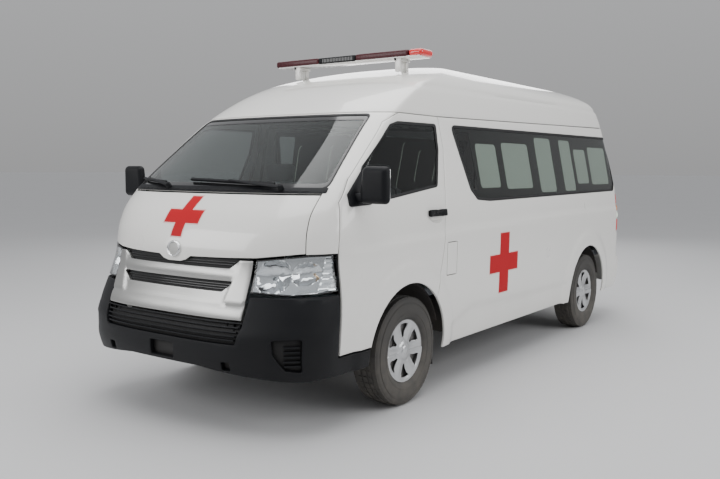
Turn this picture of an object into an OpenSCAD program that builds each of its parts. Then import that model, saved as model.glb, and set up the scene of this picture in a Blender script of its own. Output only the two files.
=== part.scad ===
// High-roof van ambulance. Millimetres; the nose faces -Y, the driver's side is +X,
// up is +Z and the origin lies on the ground under the middle of the body.

/* [Overall] */
// Length over both bumpers
body_length = 5380; // [5300:10:6500]
// Width of the body without its mirrors
body_width = 1880; // [1860:10:2260]
// Height of the roof's crown above the ground
roof_height = 2285; // [2240:5:2750]
// Distance between the axles
wheelbase = 3110; // [3000:10:3300]
// From the front bumper's face back to the front axle
front_overhang = 1170; // [1150:5:1250]

/* [Body shell] */
// Thickness of every wall, door and lid
wall = 40; // [30:1:48]
// Depth of the step that a pane of glass sits in
glass_depth = 12; // [8:1:14]
// Play between a pane and the edge of its step
glass_gap = 1.5; // [1:0.5:3]
// Width of the ledge behind the edge of a pane
glass_ledge = 16; // [12:1:22]
// Shut gap around doors and lids
shut_gap = 6; // [5:0.5:8]
// Height of the body's lower edge
sill_z = 290; // [270:5:300]
// Height of the windscreen's lower edge
screen_base = 1340; // [1335:1:1350]
// Height of the windscreen's upper edge
screen_top = 1806; // [1790:1:1820]
// Height of the bonnet's front edge
bonnet_edge = 950; // [940:1:960]
// Roof joint above the front doors
roof_line = 1824; // [1820:1:1830]
// Rise of the roof joint from the front doors to the tail
roof_line_rise = 72; // [50:1:90]

/* [Load space] */
// Underside of the floor
floor_z = 650; // [640:5:660]
// Thickness of the floor
floor_thickness = 50; // [40:1:60]
// Across the stretcher's four floor bolts
stretcher_bolt_x = 420; // [380:5:460]
// Along the stretcher's four floor bolts
stretcher_bolt_y = 1300; // [1200:10:1400]
// Radius of the stretcher's bolt holes
stretcher_hole_r = 5.5; // [4:0.5:7]

/* [Wheels] */
// Outer diameter of a tyre
tyre_diameter = 686; // [640:2:700]
// Width of a tyre
tyre_width = 195; // [175:5:205]
// Diameter of a rim at the bead
rim_diameter = 394; // [380:1:400]
// Distance between the middles of two wheels on an axle
track = 1655; // [1630:5:1670]
// Radius of a wheel arch
arch_radius = 430; // [415:1:435]
// Steering lock to each side, in degrees
steering_lock = 32; // [20:1:34]

/* [Roof lamp bar] */
// Length of the lamp bar
bar_length = 1320; // [1000:10:1400]
// Depth of the lamp bar
bar_depth = 170; // [120:5:220]
// Height of the lamp bar
bar_height = 56; // [40:2:70]
// Height of the lamp bar's middle
bar_z = 2268; // [2262:1:2275]

/* [Hidden] */

nose_y = -body_length / 2;
tail_y = body_length / 2;
front_axle = nose_y + front_overhang;
rear_axle_y = front_axle + wheelbase;
half_w = body_width / 2;
wheel_r = tyre_diameter / 2;
wheel_x = track / 2;
roof_rise = roof_height - screen_top;
floor_top = floor_z + floor_thickness;
white = [0.93, 0.93, 0.90];
black = [0.08, 0.08, 0.09];
tint = [0.25, 0.30, 0.30, 0.6];

// ---- The skin: one smooth closed form that every panel is cut from ----

// Height of a share of the rise from the windscreen's top to the roof's crown
function roof_z(share) = screen_top + roof_rise * share;

// [height, set-back from the bumper's face] of the nose, on the centre line
front_profile = [[250, 85], [330, 30], [450, 0], [560, 0], [650, 30], [780, 72],
    [bonnet_edge, 106], [1010, 110], [1090, 130], [1204, 196], [1308, 308], [screen_base, 345],
    [1580, 673], [screen_top, 988], [roof_z(0.2), 1145], [roof_z(0.43), 1360], [roof_z(0.6), 1570],
    [roof_z(0.77), 1870], [roof_z(0.885), 2170], [roof_z(0.95), 2520], [roof_z(1), 3200]];
// [height, set-forward from the rear bumper's face] of the tail
rear_profile = [[250, 80], [330, 20], [450, 0], [560, 2], [620, 80], [900, 82], [1250, 110],
    [1600, 175], [screen_top, 235], [roof_z(0.4), 330], [roof_z(0.62), 440], [roof_z(0.78), 620],
    [roof_z(0.9), 910], [roof_z(0.97), 1260], [roof_z(1), 1700]];
// [height, narrowing of the half width]
side_profile = [[250, 55], [300, 25], [430, 10], [700, 0], [1000, 2], [1150, 10], [1250, 22],
    [1400, 50], [1600, 90], [screen_top, 130], [roof_z(0.3), 160], [roof_z(0.5), 188],
    [roof_z(0.62), 218], [roof_z(0.72), 280], [roof_z(0.82), 380], [roof_z(0.905), 510],
    [roof_z(0.96), 650], [roof_z(0.99), 790], [roof_z(1), 870]];
// [height, depth of the rounded front corner], and the power of its curve
front_corner = [[250, 420], [650, 430], [1000, 520], [1150, 470], [screen_base, 335],
    [screen_top, 193], [roof_z(0.6), 220], [roof_z(0.82), 250], [roof_z(1), 60]];
front_power = [[250, 3.2], [650, 3.1], [1000, 2.6], [screen_base, 2.8], [roof_z(1), 2.6]];
// [height, depth of the rounded rear corner], and the power of its curve
rear_corner = [[250, 240], [1250, 230], [screen_top, 210], [roof_z(1), 80]];
rear_power = 4;
// Share of a wall's thickness that is taken downwards, on the sloping nose and the roof
wall_lift = [[bonnet_edge, 0], [screen_base, 0.6], [screen_top, 0.6], [roof_z(1), 1]];

skin_levels = [sill_z, 340, 400, 450, 560, floor_z, floor_top, 780, 865, bonnet_edge, 1010, 1090,
    1200, 1300, screen_base, 1460, 1580, 1700, screen_top, roof_z(0.2), roof_z(0.4), roof_z(0.55),
    roof_z(0.68), roof_z(0.79), roof_z(0.88), roof_z(0.945), roof_z(0.98), roof_z(1)];
front_steps = 9;
rear_steps = 5;

// Smooth curve through a table of [height, value], which never passes beyond its points
function stretch(t, z, i = 0) = i >= len(t) - 2 || z < t[i + 1][0] ? i : stretch(t, z, i + 1);
function grade(t, i) = (t[i + 1][1] - t[i][1]) / (t[i + 1][0] - t[i][0]);
function tangent(t, i) = i == 0 ? grade(t, 0) : i == len(t) - 1 ? grade(t, i - 1)
    : grade(t, i - 1) * grade(t, i) <= 0 ? 0 : 2 / (1 / grade(t, i - 1) + 1 / grade(t, i));
function curve(t, z) =
    let (i = stretch(t, z), h = t[i + 1][0] - t[i][0], u = min(1, max(0, (z - t[i][0]) / h)))
    (2 * u ^ 3 - 3 * u ^ 2 + 1) * t[i][1] + (u ^ 3 - 2 * u ^ 2 + u) * h * tangent(t, i)
    + (3 * u ^ 2 - 2 * u ^ 3) * t[i + 1][1] + (u ^ 3 - u ^ 2) * h * tangent(t, i + 1);

function half_width(z) = half_w - curve(side_profile, z);
function nose_at(z) = nose_y + curve(front_profile, z);
function tail_at(z) = tail_y - curve(rear_profile, z);
// Depth of a rounded corner where the share of the half width is f
function rounding(depth, power, f) = depth * (1 - sqrt(max(0, 1 - f ^ power)));

// One level of the skin, set in by d: from the nose round the +X side to the tail and back
function skin_ring(z, d) =
    let (w = half_width(z) - d,
        nose = [for (i = [0:front_steps]) let (f = sin(90 * i / front_steps))
            [w * f, nose_at(z) + d + rounding(curve(front_corner, z), curve(front_power, z), f)]],
        tail = [for (i = [rear_steps:-1:0]) let (f = sin(90 * i / rear_steps))
            [w * f, tail_at(z) - d - rounding(curve(rear_corner, z), rear_power, f)]],
        side = concat(nose, tail), n = len(side))
    concat(side, [for (i = [n - 2:-1:1]) [-side[i][0], side[i][1]]]);

// The solid inside the skin, set in by d; an inner one also opens the shell's underside
module skin(d) {
    rings = [for (i = [0:len(skin_levels) - 1])
        let (z = skin_levels[i], low = i == 0 && d > 0 ? 20 : 0)
        [for (p = skin_ring(z, d)) [p[0], p[1], z - low - d * lookup(z, wall_lift)]]];
    n = len(rings[0]);
    m = len(rings);
    polyhedron(
        points = [for (ring = rings) for (p = ring) p],
        faces = concat(
            [for (i = [0:m - 2]) for (j = [0:n - 1]) let (k = (j + 1) % n)
                [i * n + j, (i + 1) * n + j, (i + 1) * n + k]],
            [for (i = [0:m - 2]) for (j = [0:n - 1]) let (k = (j + 1) % n)
                [i * n + j, (i + 1) * n + k, i * n + k]],
            [[for (j = [0:n - 1]) j], [for (j = [n - 1:-1:0]) (m - 1) * n + j]]));
}

// A layer of the skin, from depth a to depth b
module layer(a, b) difference() { skin(a); skin(b); }
module shell() layer(0, wall);

// Makes one mesh of its children, so that their cuts share the same edges
module one_mesh() resize([0, 0, 0]) children();

// A side-view outline (y, z) from x0 to x1, and a front-view outline (x, z) from y0 to y1
module side_prism(x0, x1) rotate([90, 0, 90]) translate([0, 0, x0]) linear_extrude(x1 - x0) children();
module front_prism(y0, y1) rotate([90, 0, 0]) translate([0, 0, -y1]) linear_extrude(y1 - y0) children();
module both_sides() { children(); mirror([1, 0, 0]) children(); }
module rounded(r) offset(r, $fn = 16) offset(-r) children();
module box(low, high) translate(low) cube(high - low);

reach = half_w + 60;
door_x = half_w - 420;

// ---- Outlines seen from the side ----

function roof_line_at(y) = lookup(y, [[front_axle + 560, roof_line], [tail_y, roof_line + roof_line_rise]]);

module roof_outline() polygon([[nose_y - 50, roof_line], [front_axle + 560, roof_line],
    [tail_y + 50, roof_line_at(tail_y)], [tail_y + 50, roof_height + 50],
    [nose_y - 50, roof_height + 50]]);

module arch_outline(y, r) translate([y, tyre_diameter / 2 - 5]) circle(r, $fn = 64);

door_foot = 442;
module front_door_outline() difference() {
    polygon([[front_axle - 707, door_foot], [front_axle - 687, 1034], [front_axle - 665, 1200],
        [front_axle - 644, 1286], [front_axle - 529, 1414], [front_axle - 111, 1758],
        [front_axle - 15, 1800], [front_axle + 60, roof_line], [front_axle + 533, roof_line],
        [front_axle + 541, 1602], [front_axle + 468, 1274], [front_axle + 416, 1002],
        [front_axle + 381, 842], [front_axle + 300, 600], [front_axle, door_foot]]);
    arch_outline(front_axle, arch_radius);
}
module door_window_outline() rounded(24) polygon([[front_axle - 575, 1272],
    [front_axle - 410, 1486], [front_axle - 68, 1742], [front_axle + 20, 1764],
    [front_axle + 484, 1768], [front_axle + 470, 1600], [front_axle + 385, 1362],
    [front_axle - 156, 1302]]);
side_window_front = front_axle + 690;
side_window_rear = tail_y - 330;
module side_window_outline() rounded(40) polygon([[side_window_front, 1772],
    [side_window_front + 150, 1330], [side_window_front + 230, 1262],
    [side_window_front + 420, 1248], [side_window_rear - 50, 1268], [side_window_rear - 5, 1330],
    [side_window_rear - 5, 1600], [side_window_rear, 1792]]);
slide_front = front_axle + 610;
slide_rear = slide_front + 1130;
module sliding_door_outline() rounded(30) polygon([[slide_front, 345], [slide_rear, 345],
    [slide_rear, 1800], [slide_front + 20, 1800]]);
fuel_y = front_axle + 451;
fuel_foot = 770;
fuel_size = [133, 220];
module fuel_lid_outline() translate([fuel_y, fuel_foot]) rounded(14) square(fuel_size);

// ---- Outlines seen from the front or the rear ----

bonnet_half = 802;
module bonnet_outline() polygon([[-573, 984], [-418, 968], [-126, bonnet_edge + 2],
    [126, bonnet_edge + 2], [418, 968], [573, 984], [bonnet_half, 1010], [bonnet_half - 11, 1198],
    [bonnet_half - 14, screen_base - 12], [14 - bonnet_half, screen_base - 12],
    [11 - bonnet_half, 1198], [-bonnet_half, 1010]]);
module windscreen_outline() rounded(40) polygon([[-800, screen_base + 16], [800, screen_base + 16],
    [706, screen_top], [-706, screen_top]]);
lamp_inner = 565;
module headlamp_outline() polygon([[lamp_inner, 800], [774, 788], [reach, 812], [reach, 1008],
    [bonnet_half, 1004], [573, 978], [lamp_inner, 965]]);
bumper_top = 650;
module bumper_outline() polygon([[-reach, 330], [-868, 322], [-600, 350], [-280, 382],
    [280, 382], [600, 350], [868, 322], [reach, 330], [reach, 1100], [-reach, 1100]]);
tailgate_half = 765;
tailgate_foot = 640;
tailgate_top = 1890;
module tailgate_outline() rounded(60) polygon([[-tailgate_half, tailgate_foot],
    [tailgate_half, tailgate_foot], [tailgate_half - 15, 1300], [tailgate_half - 85, tailgate_top],
    [85 - tailgate_half, tailgate_top], [15 - tailgate_half, 1300]]);
module tailgate_window_outline() rounded(50) polygon([[-660, 1300], [660, 1300],
    [610, 1790], [-610, 1790]]);
lamp_foot = 860;
lamp_head = 1240;
module tail_lamp_outline() translate([tailgate_half + 12, lamp_foot])
    square([reach - tailgate_half, lamp_head - lamp_foot]);

// ---- Spaces that the panels leave for one another ----

module roof_space() side_prism(-reach, reach) roof_outline();
module arch_space(y) both_sides() side_prism(door_x, reach) arch_outline(y, arch_radius);
module door_space(gap = 0) side_prism(door_x, reach) offset(delta = -gap) front_door_outline();
module tailgate_space(gap = 0) front_prism(tail_y - 900, tail_y + 50)
    offset(delta = -gap) tailgate_outline();
module rear_bumper_space() box([-reach, tail_y - 250, sill_z - 50],
    [reach, tail_y + 50, tailgate_foot]);
module tail_lamp_space() both_sides() front_prism(tail_y - 330, tail_y + 50) tail_lamp_outline();
cab_front = front_axle - 712;

// Opening for a pane: the step for the glass outside and a smaller hole right through
module pane_step() intersection() { layer(-10, glass_depth); children(); }

// ---- Body panels ----

module roof_panel() color(white) one_mesh() difference() {
    intersection() { shell(); roof_space(); }
    tailgate_space();
}

// Where the windscreen's pillars end and the body sides begin
pillar_y = front_axle + 62;
module side_half() intersection() {
    shell();
    side_prism(0, reach) difference() {
        polygon([[pillar_y, sill_z - 5], [tail_y + 50, sill_z - 5],
            [tail_y + 50, roof_height], [pillar_y, roof_height]]);
        roof_outline();
        arch_outline(front_axle, arch_radius);
        arch_outline(rear_axle_y, arch_radius);
        front_door_outline();
    }
}
module side_window_hole(shape_gap = 0) {
    pane_step() side_prism(door_x, reach) side_window_outline();
    side_prism(door_x, reach) offset(delta = -glass_ledge) side_window_outline();
}
module side_panel_left() color(white) one_mesh() difference() {
    side_half();
    side_window_hole();
    tailgate_space();
    rear_bumper_space();
    tail_lamp_space();
    side_prism(door_x, reach) fuel_lid_outline();
}
module side_panel_right() color(white) one_mesh() mirror([1, 0, 0]) difference() {
    side_half();
    side_window_hole();
    tailgate_space();
    rear_bumper_space();
    tail_lamp_space();
    side_prism(door_x, reach) sliding_door_outline();
}
module sliding_door() color(white) one_mesh() mirror([1, 0, 0]) difference() {
    intersection() {
        shell();
        side_prism(door_x, reach) offset(delta = -shut_gap) sliding_door_outline();
    }
    side_window_hole();
}
module side_pane() intersection() {
    layer(0, glass_depth);
    side_prism(door_x, reach) offset(delta = -glass_gap) side_window_outline();
}
module side_glass_left() color(tint) one_mesh() side_pane();
// Two panes, parted at the sliding door's rear edge
module side_glass_right() color(tint) one_mesh() mirror([1, 0, 0]) difference() {
    side_pane();
    for (y = [slide_front, slide_rear]) box([door_x, y - 26, 1000], [reach, y + 26, 1900]);
}

module windscreen_frame() color(white) one_mesh() difference() {
    intersection() {
        shell();
        box([-reach, nose_y, screen_base - 12 + shut_gap], [reach, pillar_y, roof_line]);
    }
    both_sides() door_space();
    both_sides() fender_space();
    pane_step() front_prism(nose_y, front_axle + 60) windscreen_outline();
    front_prism(nose_y, front_axle + 60) offset(delta = -glass_ledge) windscreen_outline();
}
module windscreen() color(tint) one_mesh() intersection() {
    layer(0, glass_depth);
    front_prism(nose_y, front_axle + 60) offset(delta = -glass_gap) windscreen_outline();
}
fender_top = 1375;
module fender_space() box([bonnet_half - 30, nose_y, 990], [reach, front_axle - 400, fender_top]);
module front_fenders() color(white) one_mesh() both_sides() difference() {
    intersection() { shell(); fender_space(); }
    door_space();
    front_prism(nose_y, front_axle) offset(delta = shut_gap) bonnet_outline();
    front_prism(nose_y, front_axle) headlamp_outline();
    box([0, nose_y, screen_base - 12 + shut_gap], [bonnet_half + 4, front_axle, fender_top]);
}
module front_bumper() color(black) one_mesh() difference() {
    intersection() {
        shell();
        front_prism(nose_y - 50, front_axle) bumper_outline();
        union() {
            box([-reach, nose_y - 50, sill_z], [reach, cab_front, bumper_top]);
            both_sides() box([lamp_inner, nose_y - 50, bumper_top - 1], [reach, cab_front, 790]);
            both_sides() box([door_x, cab_front - 1, sill_z], [reach, front_axle, door_foot - shut_gap]);
        }
    }
    both_sides() front_prism(nose_y, front_axle) headlamp_outline();
    arch_space(front_axle);
    bumper_recess();
    box([rail_x - 24, nose_y - 50, tow_z - 24], [rail_x + 24, nose_y + 155, tow_z + 24]);
}
intake_half = 570;
module bumper_recess() intersection() {
    layer(-10, wall * 0.6);
    union() {
        front_prism(nose_y - 50, cab_front) rounded(12) polygon([[-intake_half, 640],
            [30 - intake_half, 530], [intake_half - 30, 530], [intake_half, 640]]);
        both_sides() front_prism(nose_y - 50, cab_front) rounded(20) polygon([[722, 552], [728, 392],
            [868, 386], [862, 556]]);
    }
}
// Painted panel with two bright bars above it and dark slots between them
module grille() color([0.75, 0.76, 0.76]) one_mesh() difference() {
    intersection() {
        shell();
        front_prism(nose_y, front_axle) difference() {
            polygon([[-lamp_inner, bumper_top], [lamp_inner, bumper_top], [lamp_inner, 978],
                [418, 962], [126, bonnet_edge - 4], [-126, bonnet_edge - 4], [-418, 962],
                [-lamp_inner, 978]]);
        }
    }
    intersection() {
        layer(-10, wall * 0.6);
        front_prism(nose_y, front_axle) grille_slots();
    }
}
module grille_slots() {
    polygon([[-480, 948], [-430, 912], [-90, 900], [90, 900], [430, 912], [480, 948], [418, 960],
        [126, 942], [-126, 942], [-418, 960]]);
    polygon([[-500, 862], [-440, 812], [440, 812], [500, 862], [430, 848], [-430, 848]]);
}
lamp_thickness = 90;
module headlamps() color([0.85, 0.88, 0.90, 0.7]) one_mesh() both_sides() intersection() {
    layer(0, lamp_thickness);
    front_prism(nose_y, cab_front) offset(delta = -3) headlamp_outline();
}
module tail_lamps() color([0.7, 0.05, 0.06]) one_mesh() both_sides() intersection() {
    layer(0, wall);
    front_prism(tail_y - 330, tail_y + 50) offset(delta = -1) tail_lamp_outline();
}
module rear_bumper() color(white) one_mesh() intersection() {
    shell();
    box([-reach, tail_y - 249, 310], [reach, tail_y + 50, tailgate_foot - shut_gap]);
}

// ---- Doors and lids ----

module front_door() difference() {
    intersection() { shell(); door_space(shut_gap); }
    pane_step() side_prism(door_x, reach) door_window_outline();
    side_prism(door_x, reach) offset(delta = -glass_ledge) door_window_outline();
}
module door_glass() intersection() {
    layer(0, glass_depth);
    side_prism(door_x, reach) offset(delta = -glass_gap) door_window_outline();
}
module front_door_left() color(white) one_mesh() front_door();
module front_door_right() color(white) one_mesh() mirror([1, 0, 0]) front_door();
module door_glass_left() color(tint) one_mesh() door_glass();
module door_glass_right() color(tint) one_mesh() mirror([1, 0, 0]) door_glass();

// Outside mirror: a foot on the door's corner, and a deep housing on it
mirror_low = 1275;
mirror_high = 1490;
mirror_y = front_axle - 560;
module door_mirror() {
    skin_x = half_width(1380) - 8;
    hull() {
        translate([skin_x + 4, mirror_y + 60, mirror_low + 10]) cube([14, 120, 36]);
        translate([skin_x + 70, mirror_y + 20, mirror_low + 20]) cube([20, 70, 24]);
    }
    hull() for (x = [skin_x + 60, skin_x + 220], z = [mirror_low + 30, mirror_high - 30])
        translate([x, mirror_y + 45, z]) rotate([0, 90, 0]) cylinder(16, 30, 30, $fn = 24);
}
module mirror_left() color(black) one_mesh() difference() {
    door_mirror();
    skin(0);
}
module mirror_right() color(black) mirror([1, 0, 0]) mirror_left();

module bonnet() color(white) one_mesh() difference() {
    intersection() {
        shell();
        front_prism(nose_y - 50, front_axle - 400) bonnet_outline();
    }
    both_sides() door_space(-3 * shut_gap);
}
module tailgate() color(white) one_mesh() difference() {
    intersection() { shell(); tailgate_space(shut_gap); }
    pane_step() front_prism(tail_y - 900, tail_y + 50) tailgate_window_outline();
    front_prism(tail_y - 900, tail_y + 50) offset(delta = -glass_ledge) tailgate_window_outline();
}
module tailgate_glass() color(tint) one_mesh() intersection() {
    layer(0, glass_depth);
    front_prism(tail_y - 900, tail_y + 50) offset(delta = -glass_gap) tailgate_window_outline();
}
module fuel_lid() color(white) one_mesh() intersection() {
    layer(0, 14);
    side_prism(door_x, reach) offset(delta = -shut_gap) fuel_lid_outline();
}

// ---- Floor and load space ----

function floor_ring(z) = skin_ring(z, wall + shut_gap + 3);
module wheel_housing(y, inner) difference() {
    side_prism(inner, half_w - wall - 17) intersection() {
        arch_outline(y, arch_radius + 14);
        translate([y - 600, housing_foot]) square([1200, 700]);
    }
    side_prism(inner + 14, half_w) arch_outline(y, arch_radius);
}
housing_inner = 520;
housing_foot = 470;
module floor_pan() color([0.45, 0.46, 0.47]) {
    difference() {
        translate([0, 0, floor_z]) linear_extrude(floor_thickness) intersection() {
            polygon(floor_ring(floor_z));
            polygon(floor_ring(floor_top));
        }
        for (y = [front_axle, rear_axle_y]) both_sides()
            side_prism(housing_inner, half_w) arch_outline(y, arch_radius + 14);
        for (x = [-0.5, 0.5], y = [-0.5, 0.5])
            translate([x * stretcher_bolt_x, stretcher_y + y * stretcher_bolt_y, floor_z - 1])
                cylinder(floor_thickness + 2, stretcher_hole_r, stretcher_hole_r, $fn = 32);
    }
}
module wheel_housings() color([0.12, 0.12, 0.13])
    for (y = [front_axle, rear_axle_y]) both_sides() wheel_housing(y, housing_inner);
stretcher_y = rear_axle_y - 500;
module stretcher() color([0.85, 0.45, 0.15]) {
    box([-270, stretcher_y - 930, floor_top + 330], [270, stretcher_y + 930, floor_top + 400]);
    for (x = [-1, 1], y = [-1, 1])
        box([x * 235 - 15, stretcher_y + y * 700 - 15, floor_top],
            [x * 235 + 15, stretcher_y + y * 700 + 15, floor_top + 330]);
}
bench_width = 380;
module attendant_bench() color([0.2, 0.35, 0.5]) {
    side = half_w - wall - 60;
    box([side - bench_width, rear_axle_y - 1500, floor_top + arch_radius * 0.35],
        [side, rear_axle_y + 600, floor_top + 430]);
}
module cabinet() color([0.8, 0.8, 0.78]) {
    side = half_w - wall - 90;
    box([-side, rear_axle_y - 480, floor_top + 150], [-side + 300, rear_axle_y + 600, floor_top + 560]);
}
seat_z = 960;
module front_seats() color([0.25, 0.25, 0.27]) for (x = [-420, 420]) {
    box([x - 240, front_axle - 330, floor_top + 120], [x + 240, front_axle + 160, seat_z]);
    translate([0, front_axle + 160, seat_z - 40]) rotate([-12, 0, 0])
        box([x - 235, 0, 0], [x + 235, 120, 620]);
}
column_shroud_length = 110;
module column_shroud() translate(wheel_hub) rotate([-steering_tilt, 0, 0])
    translate([0, 0, -column_length - column_shroud_length])
        cylinder(column_shroud_length - shut_gap, 42, 42, $fn = 32);
module dashboard() color([0.2, 0.2, 0.21]) one_mesh() {
    dash_board();
    column_shroud();
}
// The dash board hangs behind the space that the bonnet's corners dip into
dash_front = front_axle - 615;
dash_top = screen_base + 32;
module dash_board() intersection() {
    skin(wall + 10);
    side_prism(90 - half_w, half_w - 90) polygon([[nose_y, dash_top - 20],
        [dash_front, dash_top - 20], [dash_front, 980], [dash_front + 90, 980],
        [dash_front + 90, 1180], [dash_front + 40, 1330], [dash_front + 25, dash_top],
        [nose_y, dash_top]]);
}
wheel_hub = [400, front_axle - 375, 1170];
steering_tilt = 38;
column_length = 130;
module steering_wheel() color(black) translate(wheel_hub) rotate([-steering_tilt, 0, 0]) {
    rotate_extrude($fn = 48) translate([185, 0]) circle(14, $fn = 24);
    cylinder(30, 60, 60, center = true, $fn = 32);
    translate([0, 0, -column_length]) cylinder(column_length, 20, 20, $fn = 32);
    for (a = [0, 120, 240]) rotate(a + 90) translate([50, -14, -8]) cube([128, 28, 16]);
}

// ---- Running gear ----

rail_x = 420;
module chassis_rails() color([0.15, 0.15, 0.16]) {
    for (x = [-rail_x, rail_x])
        box([x - 35, nose_y + 160, floor_z - 150], [x + 35, tail_y - 160, floor_z - 20]);
    tow_socket();
}
tow_z = floor_z - 85;
module tow_socket() translate([rail_x, nose_y + 160, tow_z]) rotate([90, 0, 0]) difference() {
    cylinder(70, 20, 20, $fn = 32);
    translate([0, 0, 10]) cylinder(61, tow_r, tow_r, $fn = 32);
}
module cross_members() color([0.15, 0.15, 0.16])
    for (y = [nose_y + 330, front_axle + 800, rear_axle_y - 900, rear_axle_y + 600])
        box([-rail_x + 35, y - 40, floor_z - 120], [rail_x - 35, y + 40, floor_z - 40]);
tow_r = 10;
module engine() color([0.35, 0.35, 0.36])
    box([-250, front_axle - 120, 335], [250, front_axle + 640, floor_z - 6]);
module front_suspension() color([0.2, 0.2, 0.21]) {
    box([-rail_x, front_axle - 60, wheel_r - 93], [rail_x, front_axle + 60, wheel_r - 13]);
    both_sides() for (z = [wheel_r - 78, wheel_r + 70])
        box([rail_x - 60, front_axle - 40, z - 15], [kingpin_x - 34, front_axle + 40, z + 15]);
    both_sides() box([rail_x - 60, front_axle - 60, wheel_r - 14],
        [rail_x - 20, front_axle + 60, floor_z - 151]);
}
kingpin_x = 735;
leaf = 12;
module leaf_springs() color([0.18, 0.18, 0.19]) both_sides() {
    for (i = [0:3]) box([spring_x - 35, rear_axle_y - 620 + i * 110, wheel_r + axle_tube_r + (4 - i) * leaf],
        [spring_x + 35, rear_axle_y + 620 - i * 110, wheel_r + axle_tube_r + (5 - i) * leaf]);
    box([spring_x - 45, rear_axle_y - 60, wheel_r + axle_tube_r],
        [spring_x + 45, rear_axle_y + 60, wheel_r + axle_tube_r + leaf]);
}
spring_x = 575;
axle_tube_r = 42;
module rear_axle() color([0.15, 0.15, 0.16]) {
    translate([0, rear_axle_y, wheel_r]) {
        sphere(140, $fn = 48);
        both_sides() rotate([0, 90, 0]) {
            cylinder(wheel_x + hub_face, axle_tube_r, axle_tube_r, $fn = 32);
            translate([0, 0, wheel_x - 67]) cylinder(50, 140, 140, $fn = 48);
        }
    }
    translate([0, front_axle + 646, wheel_r + 120]) rotate([-90, 0, 0])
        cylinder(40, 60, 60, $fn = 32);
    hull() for (end = [[front_axle + 680, wheel_r + 120], [rear_axle_y - 120, wheel_r]])
        translate([0, end[0], end[1]]) rotate([90, 0, 0]) cylinder(2, 38, 38, $fn = 32);
}
module exhaust() color([0.4, 0.4, 0.41]) {
    translate([-300, front_axle + 700, 330]) rotate([-90, 0, 0]) cylinder(900, 28, 28, $fn = 32);
    translate([-300, front_axle + 1600, 330]) rotate([-90, 0, 0]) cylinder(500, 90, 90, $fn = 48);
}
module fuel_tank() color([0.12, 0.12, 0.13])
    box([470, front_axle + 700, 330], [800, front_axle + 1500, 560]);
module spare_wheel() color([0.1, 0.1, 0.11])
    translate([0, rear_axle_y + 640, 335]) cylinder(190, 325, 325, $fn = 64);
flap_back = max(arch_radius - 28, wheel_r + 50);
module mud_flaps() color([0.05, 0.05, 0.05]) both_sides() for (y = [front_axle, rear_axle_y])
    box([wheel_x - 100, y + flap_back, 170], [half_w - wall - 40, y + flap_back + 12, 450]);

// Face of a hub, measured outwards from the middle of its wheel, and the play to the rim
hub_face = 3;
hub_play = 1;
module knuckle() {
    translate([kingpin_x + 5, front_axle, wheel_r - 60]) cylinder(120, 28, 28, $fn = 32);
    translate([kingpin_x, front_axle, wheel_r]) rotate([0, 90, 0]) {
        cylinder(wheel_x + hub_face - kingpin_x, 55, 55, $fn = 32);
        translate([0, 0, 25]) cylinder(24, 140, 140, $fn = 48);
    }
}
module knuckle_left() color([0.3, 0.3, 0.31]) knuckle();
module knuckle_right() color([0.3, 0.3, 0.31]) mirror([1, 0, 0]) knuckle();

module tyre(x, y) color([0.07, 0.07, 0.07]) translate([x, y, wheel_r]) rotate([0, 90, 0])
    rotate_extrude($fn = 96) polygon([[rim_diameter / 2, -tyre_width / 2 + 20],
        [rim_diameter / 2 + 50, -tyre_width / 2], [wheel_r - 28, -tyre_width / 2 + 2],
        [wheel_r - 4, -tyre_width / 2 + 24], [wheel_r, 0], [wheel_r - 4, tyre_width / 2 - 24],
        [wheel_r - 28, tyre_width / 2 - 2], [rim_diameter / 2 + 50, tyre_width / 2],
        [rim_diameter / 2, tyre_width / 2 - 20]]);
// Rim with its cover: a barrel, and a dished face with six openings
module rim(x, y, side) color([0.72, 0.73, 0.75]) translate([x, y, wheel_r])
    rotate([0, 90 * side, 0]) {
        rotate_extrude($fn = 96) polygon([[rim_diameter / 2 - 14, -tyre_width / 2 + 20],
            [rim_diameter / 2, -tyre_width / 2 + 20], [rim_diameter / 2, tyre_width / 2 - 20],
            [rim_diameter / 2 - 14, tyre_width / 2 - 20]]);
        difference() {
            translate([0, 0, 45]) cylinder(25, rim_diameter / 2 - 14, rim_diameter / 2 - 14, $fn = 96);
            for (a = [0:60:300]) rotate(a) translate([115, 0, 40]) cylinder(40, 32, 32, $fn = 32);
        }
        translate([0, 0, hub_face + hub_play]) cylinder(68, 60, 60, $fn = 48);
    }
module tyre_front_left() tyre(wheel_x, front_axle);
module tyre_front_right() tyre(-wheel_x, front_axle);
module tyre_rear_left() tyre(wheel_x, rear_axle_y);
module tyre_rear_right() tyre(-wheel_x, rear_axle_y);
module rim_front_left() rim(wheel_x, front_axle, 1);
module rim_front_right() rim(-wheel_x, front_axle, -1);
module rim_rear_left() rim(wheel_x, rear_axle_y, 1);
module rim_rear_right() rim(-wheel_x, rear_axle_y, -1);

// ---- Roof lamps and wipers ----

bar_y = front_axle + 640;
module light_bar() color([0.4, 0.05, 0.06])
    translate([0, bar_y, bar_z]) hull() both_sides()
        translate([bar_length / 2 - bar_height / 2, 0, 0]) rotate([90, 0, 0])
            cylinder(bar_depth, bar_height / 2, bar_height / 2, center = true, $fn = 32);
module light_bar_feet() color([0.9, 0.9, 0.88]) one_mesh() difference() {
    both_sides() box([430, bar_y - 60, bar_z - 200], [480, bar_y + 60, bar_z - bar_height / 2 - 2]);
    skin(0);
}
module wipers() color(black) one_mesh() for (x = [-1, 0]) intersection() {
    layer(-22, -6);
    front_prism(nose_y, front_axle) translate([x * 620 + 130, screen_base + 20]) rotate(6)
        square([520, 16]);
}

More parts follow.
